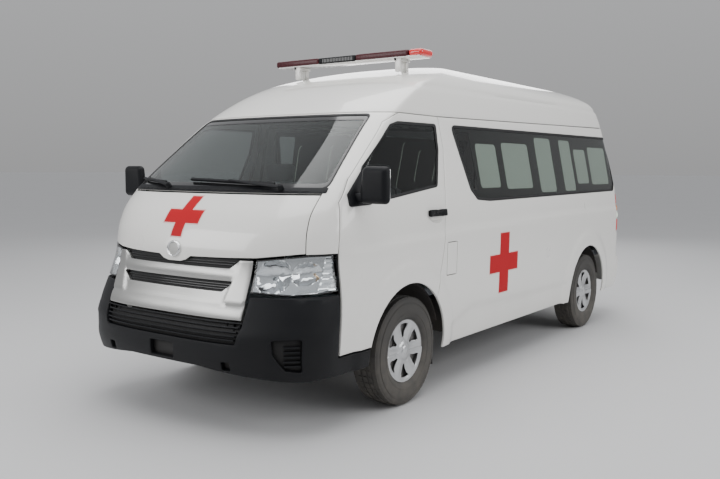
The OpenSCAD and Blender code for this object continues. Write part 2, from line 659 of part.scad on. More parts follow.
floor_pan();
wheel_housings();
side_panel_left();
side_panel_right();
roof_panel();
windscreen_frame();
front_fenders();
front_bumper();
grille();
headlamps();
windscreen();
side_glass_left();
side_glass_right();
sliding_door();
tail_lamps();
rear_bumper();
mud_flaps();
light_bar();
light_bar_feet();
wipers();
dashboard();
front_seats();
attendant_bench();
cabinet();
stretcher();
engine();
chassis_rails();
cross_members();
front_suspension();
leaf_springs();
rear_axle();
exhaust();
fuel_tank();
spare_wheel();
steering_wheel();
front_door_left();
door_glass_left();
mirror_left();
front_door_right();
door_glass_right();
mirror_right();
bonnet();
tailgate();
tailgate_glass();
fuel_lid();
knuckle_left();
knuckle_right();
tyre_front_left();
rim_front_left();
tyre_front_right();
rim_front_right();
tyre_rear_left();
rim_rear_left();
tyre_rear_right();
rim_rear_right();
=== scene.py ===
# %% [markdown]
# # A high-roof ambulance around its CAD frame
#
# An ambulance of this kind is a pressed-steel van. The CAD part already holds every
# panel, joint and size. This lesson gives each panel its real thin sheet, rounded
# edges, glass, rubber and paint, in the same frame, so nothing has to be fitted.

import bmesh
import bpy
import numpy as np
from mathutils import Matrix, Vector, geometry


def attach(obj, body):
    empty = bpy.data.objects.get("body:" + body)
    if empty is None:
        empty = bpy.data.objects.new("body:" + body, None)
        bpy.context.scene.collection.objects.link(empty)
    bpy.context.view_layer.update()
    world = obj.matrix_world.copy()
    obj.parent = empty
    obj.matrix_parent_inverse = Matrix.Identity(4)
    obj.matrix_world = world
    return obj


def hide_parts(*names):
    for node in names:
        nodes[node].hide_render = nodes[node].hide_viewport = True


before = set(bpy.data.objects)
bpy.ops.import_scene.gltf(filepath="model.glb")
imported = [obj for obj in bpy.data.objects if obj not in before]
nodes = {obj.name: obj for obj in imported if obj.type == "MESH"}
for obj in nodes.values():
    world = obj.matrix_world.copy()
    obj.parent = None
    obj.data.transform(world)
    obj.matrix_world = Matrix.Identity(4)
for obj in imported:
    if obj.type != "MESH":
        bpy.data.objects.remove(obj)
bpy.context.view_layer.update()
MM = 0.001

# %% [markdown]
# ## Camera, floor and light
#
# The van is seen from its front left corner, from about the height of the door
# handle. A plain pale floor runs out of sight, and large soft lamps overhead and at
# the sides give the long, even reflections that curved paint needs.

# %% Camera
camera = bpy.data.objects.new("camera", bpy.data.cameras.new("camera"))
bpy.context.scene.collection.objects.link(camera)
camera.location = (3.536, -5.650, 1.471)
AZIMUTH, DROP, ROLL = np.radians(35.83), np.radians(5.06), np.radians(0.24)
back = Vector((np.sin(AZIMUTH) * np.cos(DROP), -np.cos(AZIMUTH) * np.cos(DROP), np.sin(DROP)))
flat_right = Vector((0, 0, 1)).cross(back).normalized()
flat_up = back.cross(flat_right)
right = np.cos(ROLL) * flat_right + np.sin(ROLL) * flat_up
up = back.cross(right)
camera.rotation_mode = "QUATERNION"
camera.rotation_quaternion = Matrix((right, up, back)).transposed().to_quaternion()
camera.data.sensor_width = 36
camera.data.lens = 39.74
camera.data.clip_end = 600
bpy.context.scene.camera = camera
print("camera at", tuple(camera.location))


# %% Floor, sky and lamps
def plain_mesh(name, points, faces):
    """A new object of these points and faces, in the scene."""
    mesh = bpy.data.meshes.new(name)
    mesh.from_pydata([tuple(p) for p in points], [], [tuple(f) for f in faces])
    mesh.update()
    thing = bpy.data.objects.new(name, mesh)
    bpy.context.scene.collection.objects.link(thing)
    return thing


FLOOR_HALF = 240
floor = plain_mesh("floor", [(-FLOOR_HALF, -FLOOR_HALF, 0), (FLOOR_HALF, -FLOOR_HALF, 0),
                             (FLOOR_HALF, FLOOR_HALF, 0), (-FLOOR_HALF, FLOOR_HALF, 0)],
                   [(0, 1, 2, 3)])

sky = bpy.data.worlds.new("studio")
sky.use_nodes = True
sky_nodes, sky_links = sky.node_tree.nodes, sky.node_tree.links
toward, height = sky_nodes.new("ShaderNodeTexCoord"), sky_nodes.new("ShaderNodeSeparateXYZ")
fade = sky_nodes.new("ShaderNodeValToRGB")
for stop, share, shade in zip(fade.color_ramp.elements, (0.0, 0.55),
                              ((0.46, 0.46, 0.465, 1), (0.80, 0.81, 0.83, 1))):
    stop.position, stop.color = share, shade
sky_links.new(toward.outputs["Generated"], height.inputs[0])
sky_links.new(height.outputs["Z"], fade.inputs[0])
sky_links.new(fade.outputs[0], sky_nodes["Background"].inputs["Color"])
sky_nodes["Background"].inputs["Strength"].default_value = 0.8
bpy.context.scene.world = sky


def soft_lamp(name, place, aim, size, watts):
    """An area lamp that faces its aim."""
    data = bpy.data.lights.new(name, "AREA")
    data.shape, data.size, data.size_y, data.energy = "RECTANGLE", size[0], size[1], watts
    lamp = bpy.data.objects.new(name, data)
    lamp.location = place
    lamp.rotation_mode = "QUATERNION"
    lamp.rotation_quaternion = (Vector(aim) - Vector(place)).to_track_quat("-Z", "Y")
    bpy.context.scene.collection.objects.link(lamp)


soft_lamp("lamp_over", (0.5, -1, 6.5), (0, 0, 0), (5, 9), 420)
soft_lamp("lamp_side", (8, 1.5, 4.2), (0, 0.3, 1), (7, 4), 330)
soft_lamp("lamp_front", (-3.5, -8.5, 3.8), (0, -2, 1), (6, 3.5), 300)
soft_lamp("lamp_back", (-5, 8, 4.5), (0, 1, 1), (6, 4), 260)
print("one floor, one sky and 4 lamps")

# %% [markdown]
# ## The skin of the body
#
# A pressed body is one smooth form, cut into panels. It is described as level rings:
# at each height a rounded nose, a straight side and a rounded tail. The tables hold
# the same numbers as the CAD source, in millimetres, and a monotone curve runs
# through them. A panel could be modelled by hand, but cutting every one from the
# same function keeps highlights running unbroken across the gaps.

# %% Tables of the skin
HALF_WIDTH, NOSE, TAIL = 940.0, -2690.0, 2690.0
SCREEN_TOP, CROWN = 1806.0, 2285.0
FRONT_AXLE, REAR_AXLE, WHEEL_R = -1520.0, 1590.0, 343.0
ARCH_R, ARCH_Z = 430.0, 338.0
ROOF_LINE, ROOF_LINE_RISE = 1824.0, 72.0
SIDES = ((1, "left"), (-1, "right"))


def roof_z(share):
    """The height at a share of the way from the screen top to the crown."""
    return SCREEN_TOP + (CROWN - SCREEN_TOP) * share


NOSE_PROFILE = [(250, 85), (330, 30), (450, 0), (560, 0), (650, 30), (780, 72), (950, 106),
                (1010, 110), (1090, 130), (1204, 196), (1308, 308), (1340, 345), (1580, 673),
                (1806, 988), (roof_z(0.2), 1145), (roof_z(0.43), 1360), (roof_z(0.6), 1570),
                (roof_z(0.77), 1870), (roof_z(0.885), 2170), (roof_z(0.95), 2520),
                (roof_z(1), 3200)]
TAIL_PROFILE = [(250, 80), (330, 20), (450, 0), (560, 2), (620, 80), (900, 82), (1250, 110),
                (1600, 175), (1806, 235), (roof_z(0.4), 330), (roof_z(0.62), 440),
                (roof_z(0.78), 620), (roof_z(0.9), 910), (roof_z(0.97), 1260), (roof_z(1), 1700)]
SIDE_PROFILE = [(250, 55), (300, 25), (430, 10), (700, 0), (1000, 2), (1150, 10), (1250, 22),
                (1400, 50), (1600, 90), (1806, 130), (roof_z(0.3), 160), (roof_z(0.5), 188),
                (roof_z(0.62), 218), (roof_z(0.72), 280), (roof_z(0.82), 380),
                (roof_z(0.905), 510), (roof_z(0.96), 650), (roof_z(0.99), 790), (roof_z(1), 870)]
NOSE_CORNER = [(250, 420), (650, 430), (1000, 520), (1150, 470), (1340, 335), (1806, 193),
               (roof_z(0.6), 220), (roof_z(0.82), 250), (roof_z(1), 60)]
NOSE_POWER = [(250, 3.2), (650, 3.1), (1000, 2.6), (1340, 2.8), (roof_z(1), 2.6)]
TAIL_CORNER = [(250, 240), (1250, 230), (1806, 210), (roof_z(1), 80)]
TAIL_POWER = 4.0


def through(table, z):
    """Monotone curve through a table of (height, value)."""
    at, value = np.array(table, float).T
    step = np.diff(value) / np.diff(at)
    slope = np.concatenate([step[:1], np.zeros(len(step) - 1), step[-1:]])
    before, after = step[:-1], step[1:]
    same = before * after > 0
    slope[1:-1][same] = 2 / (1 / before[same] + 1 / after[same])
    i = np.clip(np.searchsorted(at, z, side="right") - 1, 0, len(at) - 2)
    h = at[i + 1] - at[i]
    u = np.clip((z - at[i]) / h, 0, 1)
    return ((2 * u**3 - 3 * u**2 + 1) * value[i] + (u**3 - 2 * u**2 + u) * h * slope[i]
            + (3 * u**2 - 2 * u**3) * value[i + 1] + (u**3 - u**2) * h * slope[i + 1])


print("half width at the belt", round(float(HALF_WIDTH - through(SIDE_PROFILE, np.array(1000.0)))))

# %% [markdown]
# ## Walking along the skin
#
# A point of the skin has two numbers: how far round the body it lies, starting at the
# middle of the nose, and its height. The way round is stretched so that one unit is
# about one millimetre, because the triangles that are laid on it should be even.

# %% Round-the-body coordinates
FRONT_RUN, SIDE_RUN, REAR_RUN = 1250.0, 3900.0, 1000.0
FULL_RUN = FRONT_RUN + SIDE_RUN + REAR_RUN


def ring_parts(z):
    """Half width, nose, depth and power of the front corner, tail and depth of the rear one."""
    return (HALF_WIDTH - through(SIDE_PROFILE, z), NOSE + through(NOSE_PROFILE, z),
            through(NOSE_CORNER, z), through(NOSE_POWER, z), TAIL - through(TAIL_PROFILE, z),
            through(TAIL_CORNER, z))


def skin_plain(run, z):
    """Points of the smooth skin, without pressings, in millimetres."""
    run, z = np.asarray(run, float), np.asarray(z, float)
    side, run = np.where(run < 0, -1.0, 1.0), np.abs(run)
    w, nose, depth, power, tail, rear = ring_parts(z)
    a = np.pi / 2 * np.clip(run / FRONT_RUN, 0, 1)
    f = np.sin(a)
    x_front = w * f
    y_front = nose + depth * (1 - np.sqrt(np.clip(1 - f**power, 0, 1)))
    b = np.pi / 2 * np.clip((FULL_RUN - run) / REAR_RUN, 0, 1)
    g = np.sin(b)
    x_rear = w * g
    y_rear = tail - rear * (1 - np.sqrt(np.clip(1 - g**TAIL_POWER, 0, 1)))
    t = np.clip((run - FRONT_RUN) / SIDE_RUN, 0, 1)
    y_side = (nose + depth) * (1 - t) + (tail - rear) * t
    front, behind = run < FRONT_RUN, run > FRONT_RUN + SIDE_RUN
    x = np.where(front, x_front, np.where(behind, x_rear, w))
    y = np.where(front, y_front, np.where(behind, y_rear, y_side))
    return np.stack([side * x, y, z], -1)


def run_at_side(y, z):
    """How far round the +X side a point at (y, z) lies."""
    y, z = np.asarray(y, float), np.asarray(z, float)
    w, nose, depth, power, tail, rear = ring_parts(z)
    t = np.clip((y - nose) / depth, 0, 1)
    f = (1 - (1 - t) ** 2) ** (1 / power)
    front = np.arcsin(np.clip(f, 0, 1)) / (np.pi / 2) * FRONT_RUN
    s = np.clip((tail - y) / rear, 0, 1)
    g = (1 - (1 - s) ** 2) ** (1 / TAIL_POWER)
    behind = FULL_RUN - np.arcsin(np.clip(g, 0, 1)) / (np.pi / 2) * REAR_RUN
    along = FRONT_RUN + SIDE_RUN * (y - nose - depth) / (tail - rear - nose - depth)
    return np.where(y < nose + depth, front, np.where(y > tail - rear, behind, along))


def run_at_front(x, z):
    """How far from the middle of the nose a point at (x, z) lies."""
    w = HALF_WIDTH - through(SIDE_PROFILE, np.asarray(z, float))
    return np.arcsin(np.clip(np.asarray(x, float) / w, -1, 1)) / (np.pi / 2) * FRONT_RUN


def run_at_rear(x, z):
    """Way round to a point of the tail at (x, z), counted from the middle of the tail."""
    w = HALF_WIDTH - through(SIDE_PROFILE, np.asarray(z, float))
    return -np.arcsin(np.clip(np.asarray(x, float) / w, -1, 1)) / (np.pi / 2) * REAR_RUN


print("way round one side:", FULL_RUN)

# %% [markdown]
# ## Pressings
#
# Real sides aren't plain: the wheel arches are flared, a crease runs along the belt
# and a ridge above the sill, and the roof has a long groove. They are small moves
# along the skin's own normal, so they need no modelling of their own.

# %% Pressings of the side
def ease(t):
    """A smooth step from 0 to 1."""
    t = np.clip(t, 0, 1)
    return t * t * (3 - 2 * t)


CUP = (-1188.0, 1168.0, 92.0, 44.0)
SWEEP = np.linspace(0, 2 * np.pi, 28, endpoint=False)


def pressing(p):
    """Outward move of the skin's points, in millimetres."""
    x, y, z = np.abs(p[..., 0]), p[..., 1], p[..., 2]
    on_side = ease((x - 640) / 120)
    move = np.zeros_like(x)
    for axle in (FRONT_AXLE, REAR_AXLE):
        r = np.hypot(y - axle, z - ARCH_Z)
        move += 13 * ease((588 - r) / 62) * ease((r - 380) / 40)
    crease = np.interp(y, [-2300, -1819, -1123, 78, 2700], [1020, 1042, 1070, 1098, 1120])
    move += 8 * ease((crease - z) / 22) * ease((z - crease + 420) / 380) * ease((y + 2250) / 300)
    ridge = np.interp(y, [-1100, -1032, -688, 105, 900, 1200, 2700],
                      [420, 438, 538, 510, 505, 505, 505])
    between = ease((y + 1090) / 200) * ease((1200 - y) / 260)
    move -= 11 * ease((ridge - z) / 46) * between
    groove = np.interp(y, [-1250, -1041, 2169, 2500], [2010, 2034, 2050, 2046])
    fade = ease((y + 1230) / 120) * ease((2420 - y) / 120)
    move -= 9 * np.exp(-(((z - groove) / 9) ** 2)) * fade
    cup = 1 - ((y - CUP[0]) / CUP[2]) ** 2 - ((z - CUP[1]) / CUP[3]) ** 2
    move -= 17 * ease(cup * 1.6)
    return move * on_side


def skin_normal(point_at, run, z, h=2.0):
    """Outward direction of a surface, from two short steps along it."""
    along = point_at(run + h, z) - point_at(run - h, z)
    over = point_at(run, z + h) - point_at(run, np.maximum(z - h, 0))
    n = np.cross(along, over)
    return n / np.maximum(np.linalg.norm(n, axis=-1, keepdims=True), 1e-9)


def skin(run, z):
    """Points of the pressed skin, in millimetres."""
    p = skin_plain(run, z)
    return p + skin_normal(skin_plain, run, z) * pressing(p)[..., None]


def skin_rear(run, z):
    """The same skin, with the way round counted from the middle of the tail."""
    side = np.where(run > 0, -1.0, 1.0)
    return skin(side * (FULL_RUN - np.abs(run)), z)


print("flare at the front arch:", round(float(pressing(np.array([940.0, -1520, 780]))), 1), "mm")

# %% [markdown]
# ## Outlines
#
# A panel's edge is drawn as seen from the side, the front or the rear, as on a
# workshop drawing. Each outline is cut into short steps and laid on the skin, so a
# straight line on the drawing follows the curve of the metal.

# %% Outline helpers
def dense(loop, step=22.0):
    """The closed loop with extra points, none further apart than the step."""
    points, n = [], len(loop)
    for i in range(n):
        a, b = np.array(loop[i], float), np.array(loop[(i + 1) % n], float)
        k = max(1, int(np.ceil(np.linalg.norm(b - a) / step)))
        points += [a + (b - a) * j / k for j in range(k)]
    return np.array(points)


def rounded(loop, r, steps=4):
    """The loop with its corners rounded by r."""
    out, n = [], len(loop)
    for i in range(n):
        a, b, c = (np.array(loop[(i + k) % n], float) for k in (-1, 0, 1))
        u, v = a - b, c - b
        lu, lv = np.linalg.norm(u), np.linalg.norm(v)
        u, v = u / lu, v / lv
        half = np.arccos(np.clip(u @ v, -1, 1)) / 2
        reach = min(r / max(np.tan(half), 1e-3), lu * 0.45, lv * 0.45)
        p, q = b + u * reach, b + v * reach
        for s in np.linspace(0, 1, steps + 1):
            out.append((1 - s) ** 2 * p + 2 * s * (1 - s) * b + s * s * q)
    return np.array(out)


def grown(loop, d):
    """The loop moved outwards by d."""
    loop = np.asarray(loop, float)
    area = np.sum(loop[:, 0] * np.roll(loop[:, 1], -1) - np.roll(loop[:, 0], -1) * loop[:, 1])
    e = np.roll(loop, -1, 0) - loop
    e /= np.maximum(np.linalg.norm(e, axis=1, keepdims=True), 1e-9)
    n = np.stack([e[:, 1], -e[:, 0]], 1) * np.sign(area)
    m = n + np.roll(n, 1, 0)
    m /= np.maximum(np.linalg.norm(m, axis=1, keepdims=True), 1e-9)
    cos = np.clip(np.sum(m * n, 1), 0.5, 1)
    return loop + m * (d / cos)[:, None]


def circle(y, z, r, steps=72):
    a = np.linspace(0, 2 * np.pi, steps, endpoint=False)
    return np.stack([y + r * np.cos(a), z + r * np.sin(a)], 1)


def rectangle(a, b, c, d):
    return np.array([(a, b), (c, b), (c, d), (a, d)], float)


def inside(loop, p):
    """Which points lie inside a closed loop."""
    x, y = p[:, 0], p[:, 1]
    a, b = loop, np.roll(loop, -1, 0)
    hit = np.zeros(len(p), bool)
    for (x0, y0), (x1, y1) in zip(a, b):
        if y0 == y1:
            continue
        cross = ((y0 > y) != (y1 > y)) & (x < (x1 - x0) * (y - y0) / (y1 - y0) + x0)
        hit ^= cross
    return hit


def from_side(loop, side=1, step=22.0):
    """A side-view loop (y, z), laid round the body."""
    p = dense(loop, step)
    return np.stack([side * run_at_side(p[:, 0], p[:, 1]), p[:, 1]], 1)


def from_front(loop, step=22.0):
    p = dense(loop, step)
    return np.stack([run_at_front(p[:, 0], p[:, 1]), p[:, 1]], 1)


def from_rear(loop, step=22.0):
    p = dense(loop, step)
    return np.stack([run_at_rear(p[:, 0], p[:, 1]), p[:, 1]], 1)


print("outline helpers ready")

# %% [markdown]
# ## From an outline to a pressed panel
#
# The outline and a grid of inner points are joined by a constrained Delaunay
# triangulation, which keeps every cut edge exactly. The sheet then gets a rounded
# edge, a rim and an inner face, so each panel is a closed solid with real thickness.

# %% Panel maker
def triangles_between(loops, keep, grid):
    """Points and triangles that fill the kept region."""
    flat = [Vector(p) for loop in loops for p in loop]
    edges, first = [], 0
    for loop in loops:
        n = len(loop)
        edges += [(first + i, first + (i + 1) % n) for i in range(n)]
        first += n
    every = np.concatenate(loops)
    low, high = every.min(0), every.max(0)
    xs = np.arange(low[0] + grid / 2, high[0], grid)
    zs = np.arange(low[1] + grid / 2, high[1], grid * 0.9)
    mesh_x, mesh_z = np.meshgrid(xs, zs)
    mesh_x[1::2] += grid / 2
    inner = np.stack([mesh_x.ravel(), mesh_z.ravel()], 1)
    inner = inner[keep(inner)]
    clear = np.full(len(inner), np.inf)
    for loop in loops:
        b = np.roll(loop, -1, 0)
        for p, q in zip(loop, b):
            d = q - p
            t = np.clip(((inner - p) @ d) / max(d @ d, 1e-9), 0, 1)
            clear = np.minimum(clear, np.linalg.norm(inner - p - t[:, None] * d, axis=1))
    inner = inner[clear > grid * 0.42]
    flat += [Vector(p) for p in inner]
    points, _, faces, *_ = geometry.delaunay_2d_cdt(flat, edges, [], 0, 1e-4)
    points = np.array([tuple(p) for p in points], float)
    faces = np.array([f for f in faces], int)
    middle = points[faces].mean(1)
    faces = faces[keep(middle)]
    a, b, c = (points[faces[:, i]] for i in range(3))
    turn = (b[:, 0] - a[:, 0]) * (c[:, 1] - a[:, 1]) - (b[:, 1] - a[:, 1]) * (c[:, 0] - a[:, 0])
    faces[turn < 0] = faces[turn < 0][:, ::-1]
    faces = faces[np.abs(turn) > 1e-3]
    used, back_to = np.unique(faces, return_inverse=True)
    return points[used], back_to.reshape(faces.shape)


def border_of(points, faces):
    """Directed border edges, and each border point's outward direction."""
    directed = np.concatenate([faces[:, [0, 1]], faces[:, [1, 2]], faces[:, [2, 0]]])
    have = {tuple(e) for e in directed}
    border = np.array([e for e in directed if (e[1], e[0]) not in have])
    d = points[border[:, 1]] - points[border[:, 0]]
    d /= np.maximum(np.linalg.norm(d, axis=1, keepdims=True), 1e-9)
    out = np.stack([d[:, 1], -d[:, 0]], 1)
    total = np.zeros_like(points)
    np.add.at(total, border[:, 0], out)
    np.add.at(total, border[:, 1], out)
    size = np.linalg.norm(total, axis=1, keepdims=True)
    unit = total / np.maximum(size, 1e-9)
    stretch = 2 / np.clip(size, 1.1, 2)
    return border, unit * stretch


EDGE_TURNS = (0.0, 30.0, 60.0, 90.0)


def panel_mesh(surface, loops, keep, gap=2.5, edge=3.0, thick=14.0, lift=0.0, grid=34.0):
    """Vertices in metres and faces of a closed sheet on the surface."""
    flat, faces = triangles_between(loops, keep, grid)
    border, out = border_of(flat, faces)
    at_edge = np.unique(border)
    flat = flat.copy()
    flat[at_edge] -= out[at_edge] * gap
    rows, face_rows = [], []

    def level(turn, depth):
        p = flat.copy()
        p[at_edge] -= out[at_edge] * edge * (1 - np.sin(np.radians(turn)))
        normal = skin_normal(surface, p[:, 0], p[:, 1])
        return surface(p[:, 0], p[:, 1]) + normal * (lift - depth)

    top = level(0.0, 0.0)
    rows.append(top)
    face_rows += [tuple(f) for f in faces]
    spot = {v: i for i, v in enumerate(at_edge)}
    start = np.arange(len(top))
    last = {v: v for v in at_edge}
    total = len(top)
    rims = [(t, edge * (1 - np.cos(np.radians(t)))) for t in EDGE_TURNS[1:]] + [(90.0, thick)]
    for turn, depth in rims:
        ring = level(turn, depth)[at_edge]
        now = {v: total + i for i, v in enumerate(at_edge)}
        for a, b in border:
            face_rows.append((last[a], now[a], now[b], last[b]))
        rows.append(ring)
        total += len(ring)
        last = now
    low = level(0.0, thick)
    inner_points = [v for v in start if v not in spot]
    place = {v: total + i for i, v in enumerate(inner_points)}
    place.update(last)
    rows.append(low[inner_points])
    face_rows += [(place[f[2]], place[f[1]], place[f[0]]) for f in faces]
    return np.concatenate(rows) * MM, face_rows


print("panel maker ready")

# %% [markdown]
# ## Finishes
#
# Every surface of a used van has a little unevenness: orange peel in the paint, grain
# in moulded plastic, road dust low down. One shader node group makes these from
# noise, and each material places it with its own values. The Principled shader stays
# in the material, with plain values on its own sockets.

# %% Shared surface group
def surface_group():
    group = bpy.data.node_groups.new("surface wear", "ShaderNodeTree")
    face = group.interface
    for name, kind, value in (("Colour", "NodeSocketColor", (0.8, 0.8, 0.8, 1)),
                              ("Second colour", "NodeSocketColor", (0.7, 0.7, 0.7, 1)),
                              ("Roughness", "NodeSocketFloat", 0.5),
                              ("Patch size", "NodeSocketFloat", 4.0),
                              ("Patches", "NodeSocketFloat", 0.3),
                              ("Grain size", "NodeSocketFloat", 400.0),
                              ("Grain", "NodeSocketFloat", 1.0),
                              ("Road dust", "NodeSocketFloat", 0.0)):
        socket = face.new_socket(name=name, in_out="INPUT", socket_type=kind)
        socket.default_value = value
    for name, kind in (("Colour", "NodeSocketColor"), ("Roughness", "NodeSocketFloat"),
                       ("Height", "NodeSocketFloat")):
        face.new_socket(name=name, in_out="OUTPUT", socket_type=kind)
    new, link = group.nodes.new, group.links.new
    given, result = new("NodeGroupInput"), new("NodeGroupOutput")
    place = new("ShaderNodeTexCoord")
    patches, grain = new("ShaderNodeTexNoise"), new("ShaderNodeTexNoise")
    patches.inputs["Detail"].default_value = 4
    grain.inputs["Detail"].default_value = 2
    link(place.outputs["Object"], patches.inputs["Vector"])
    link(place.outputs["Object"], grain.inputs["Vector"])
    link(given.outputs["Patch size"], patches.inputs["Scale"])
    link(given.outputs["Grain size"], grain.inputs["Scale"])

    def maths(kind, a, b):
        node = new("ShaderNodeMath")
        node.operation = kind
        for i, value in enumerate((a, b)):
            if isinstance(value, (int, float)):
                node.inputs[i].default_value = value
            else:
                link(value, node.inputs[i])
        return node.outputs[0]

    share = maths("MULTIPLY", patches.outputs["Fac"], given.outputs["Patches"])
    first = new("ShaderNodeMix")
    first.data_type = "RGBA"
    link(share, first.inputs["Factor"])
    link(given.outputs["Colour"], first.inputs["A"])
    link(given.outputs["Second colour"], first.inputs["B"])
    parts = new("ShaderNodeSeparateXYZ")
    link(place.outputs["Object"], parts.inputs[0])
    low = new("ShaderNodeMapRange")
    low.inputs["From Min"].default_value = 0.75
    low.inputs["From Max"].default_value = 0.15
    link(parts.outputs["Z"], low.inputs["Value"])
    dust = maths("MULTIPLY", maths("MULTIPLY", low.outputs[0], given.outputs["Road dust"]),
                 patches.outputs["Fac"])
    second = new("ShaderNodeMix")
    second.data_type = "RGBA"
    second.inputs["B"].default_value = (0.30, 0.27, 0.23, 1)
    link(dust, second.inputs["Factor"])
    link(first.outputs["Result"], second.inputs["A"])
    link(second.outputs["Result"], result.inputs["Colour"])
    spread = maths("MULTIPLY", maths("SUBTRACT", patches.outputs["Fac"], 0.5),
                   maths("MULTIPLY", given.outputs["Patches"], 0.35))
    rough = maths("ADD", maths("ADD", given.outputs["Roughness"], spread),
                  maths("MULTIPLY", dust, 0.5))
    link(rough, result.inputs["Roughness"])
    link(maths("MULTIPLY", grain.outputs["Fac"], given.outputs["Grain"]),
         result.inputs["Height"])
    return group


wear = surface_group()
print("one shared group with", len(wear.nodes), "nodes")


# %% Materials
def finish(name, colour, second, roughness, patch=4.0, patches=0.3, grain_size=400.0,
           grain=1.0, dust=0.0, depth=0.0004, **shader):
    """A material of the shared group and a Principled shader with plain values."""
    material = bpy.data.materials.new(name)
    material.use_nodes = True
    tree = material.node_tree
    principled = tree.nodes["Principled BSDF"]
    placed = tree.nodes.new("ShaderNodeGroup")
    placed.node_tree = wear
    for socket, value in (("Colour", (*colour, 1)), ("Second colour", (*second, 1)),
                          ("Roughness", roughness), ("Patch size", patch),
                          ("Patches", patches), ("Grain size", grain_size),
                          ("Grain", grain), ("Road dust", dust)):
        placed.inputs[socket].default_value = value
    bump = tree.nodes.new("ShaderNodeBump")
    bump.inputs["Strength"].default_value = 1.0
    bump.inputs["Distance"].default_value = depth
    tree.links.new(placed.outputs["Colour"], principled.inputs["Base Color"])
    tree.links.new(placed.outputs["Roughness"], principled.inputs["Roughness"])
    tree.links.new(placed.outputs["Height"], bump.inputs["Height"])
    tree.links.new(bump.outputs["Normal"], principled.inputs["Normal"])
    for socket, value in shader.items():
        principled.inputs[socket.replace("_", " ")].default_value = value
    material.diffuse_color = (*colour, 1)
    return material


paint = finish("white_paint", (0.80, 0.79, 0.76), (0.74, 0.735, 0.70), 0.30, 2.2, 0.35,
               170, 0.25, 0.30, 0.0002, Coat_Weight=0.85, Coat_Roughness=0.05)
moulded = finish("moulded_black", (0.0035, 0.004, 0.0055), (0.007, 0.0075, 0.009), 0.48, 6, 0.5,
                 900, 1.0, 0.03, 0.0005, Specular_IOR_Level=0.20)
gloss_black = finish("gloss_black", (0.008, 0.008, 0.009), (0.015, 0.015, 0.015), 0.12, 5, 0.2,
                     300, 0.1, 0.05, 0.0002, Coat_Weight=0.5)
silver = finish("silver_paint", (0.40, 0.40, 0.39), (0.34, 0.34, 0.33), 0.34, 5, 0.3, 600, 0.3,
                0.2, 0.0002, Metallic=0.8, Coat_Weight=0.3, Coat_Roughness=0.08)
chrome = finish("chrome", (0.80, 0.81, 0.82), (0.72, 0.73, 0.74), 0.08, 8, 0.2, 300, 0.1, 0,
                0.0001, Metallic=1.0)
seal = finish("window_rubber", (0.008, 0.008, 0.009), (0.018, 0.018, 0.018), 0.55, 9, 0.4, 700,
              0.8, 0.1, 0.0004, Specular_IOR_Level=0.3)
cross_red = finish("cross_red", (0.44, 0.003, 0.010), (0.36, 0.003, 0.008), 0.55, 6, 0.3, 300,
                   0.2, 0, 0.0001, Specular_IOR_Level=0.2)
cross_edge = finish("cross_edge", (0.72, 0.50, 0.48), (0.66, 0.45, 0.43), 0.40, 6, 0.3, 300,
                    0.2, 0, 0.0001)
tyre_rubber = finish("tyre_rubber", (0.022, 0.022, 0.022), (0.045, 0.042, 0.038), 0.72, 14, 0.6,
                     500, 1.0, 0.35, 0.0006)
wheel_silver = finish("wheel_silver", (0.56, 0.57, 0.58), (0.48, 0.49, 0.50), 0.30, 9, 0.4, 700,
                      0.3, 0.15, 0.0002, Metallic=0.8, Coat_Weight=0.4)
cast = finish("cast_metal", (0.20, 0.20, 0.205), (0.13, 0.12, 0.11), 0.50, 14, 0.7, 260, 1.0,
              0.3, 0.0010, Metallic=0.7)
frame_black = finish("frame_black", (0.025, 0.026, 0.028), (0.06, 0.045, 0.035), 0.46, 8, 0.6,
                     260, 0.8, 0.5, 0.0006)
exhaust_steel = finish("exhaust_steel", (0.33, 0.30, 0.27), (0.20, 0.13, 0.09), 0.42, 10, 0.8,
                       200, 1.0, 0.3, 0.0006, Metallic=0.9)
vinyl_floor = finish("floor_vinyl", (0.24, 0.26, 0.28), (0.15, 0.16, 0.18), 0.52, 60, 0.8, 420,
                     1.0, 0, 0.0004)
dark_trim = finish("dark_trim", (0.045, 0.046, 0.05), (0.07, 0.07, 0.072), 0.56, 7, 0.5, 800,
                   1.0, 0, 0.0006)
board = finish("cabinet_board", (0.66, 0.66, 0.63), (0.60, 0.60, 0.57), 0.42, 9, 0.4, 500, 0.5,
               0, 0.0003)
bare_steel = finish("bare_steel", (0.58, 0.58, 0.59), (0.48, 0.48, 0.48), 0.28, 30, 0.5, 900,
                    0.5, 0, 0.0002, Metallic=1.0)


def glassy(name, colour, roughness, ior, **shader):
    """A clear material of one colour."""
    return finish(name, colour, tuple(c * 0.96 for c in colour), roughness, 3, 0.1, 60, 0.05, 0,
                  0.00005, Transmission_Weight=1.0, IOR=ior, **shader)


side_tint = glassy("side_glass_tint", (0.34, 0.37, 0.37), 0.02, 1.30)
screen_tint = glassy("windscreen_tint", (0.42, 0.47, 0.46), 0.015, 1.42)
clear_lens = glassy("clear_lens", (0.93, 0.95, 0.96), 0.03, 1.40)
amber_glass = glassy("amber_bulb", (0.92, 0.66, 0.42), 0.25, 1.40)
floor_material = finish("studio_floor", (0.56, 0.56, 0.565), (0.53, 0.53, 0.535), 0.62, 0.6, 0.4,
                        30, 0.2, 0, 0.0003)
floor.data.materials.append(floor_material)
print(len(bpy.data.materials), "materials")


# %% [markdown]
# ## Making pieces
#
# A piece is a mesh with its place in its points, smooth faces with sharp edges kept,
# one material, the body it rides on, and the CAD nodes it stands for.

# %% Piece maker
def piece(name, mesh, material, body="body", stands_for=(), sharp=32):
    points, faces = mesh
    thing = plain_mesh(name, points, faces)
    thing.data.materials.append(material)
    thing.data.shade_smooth()
    thing.data.set_sharp_from_angle(angle=np.radians(sharp))
    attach(thing, body)
    if stands_for:
        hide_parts(*stands_for)
    return thing


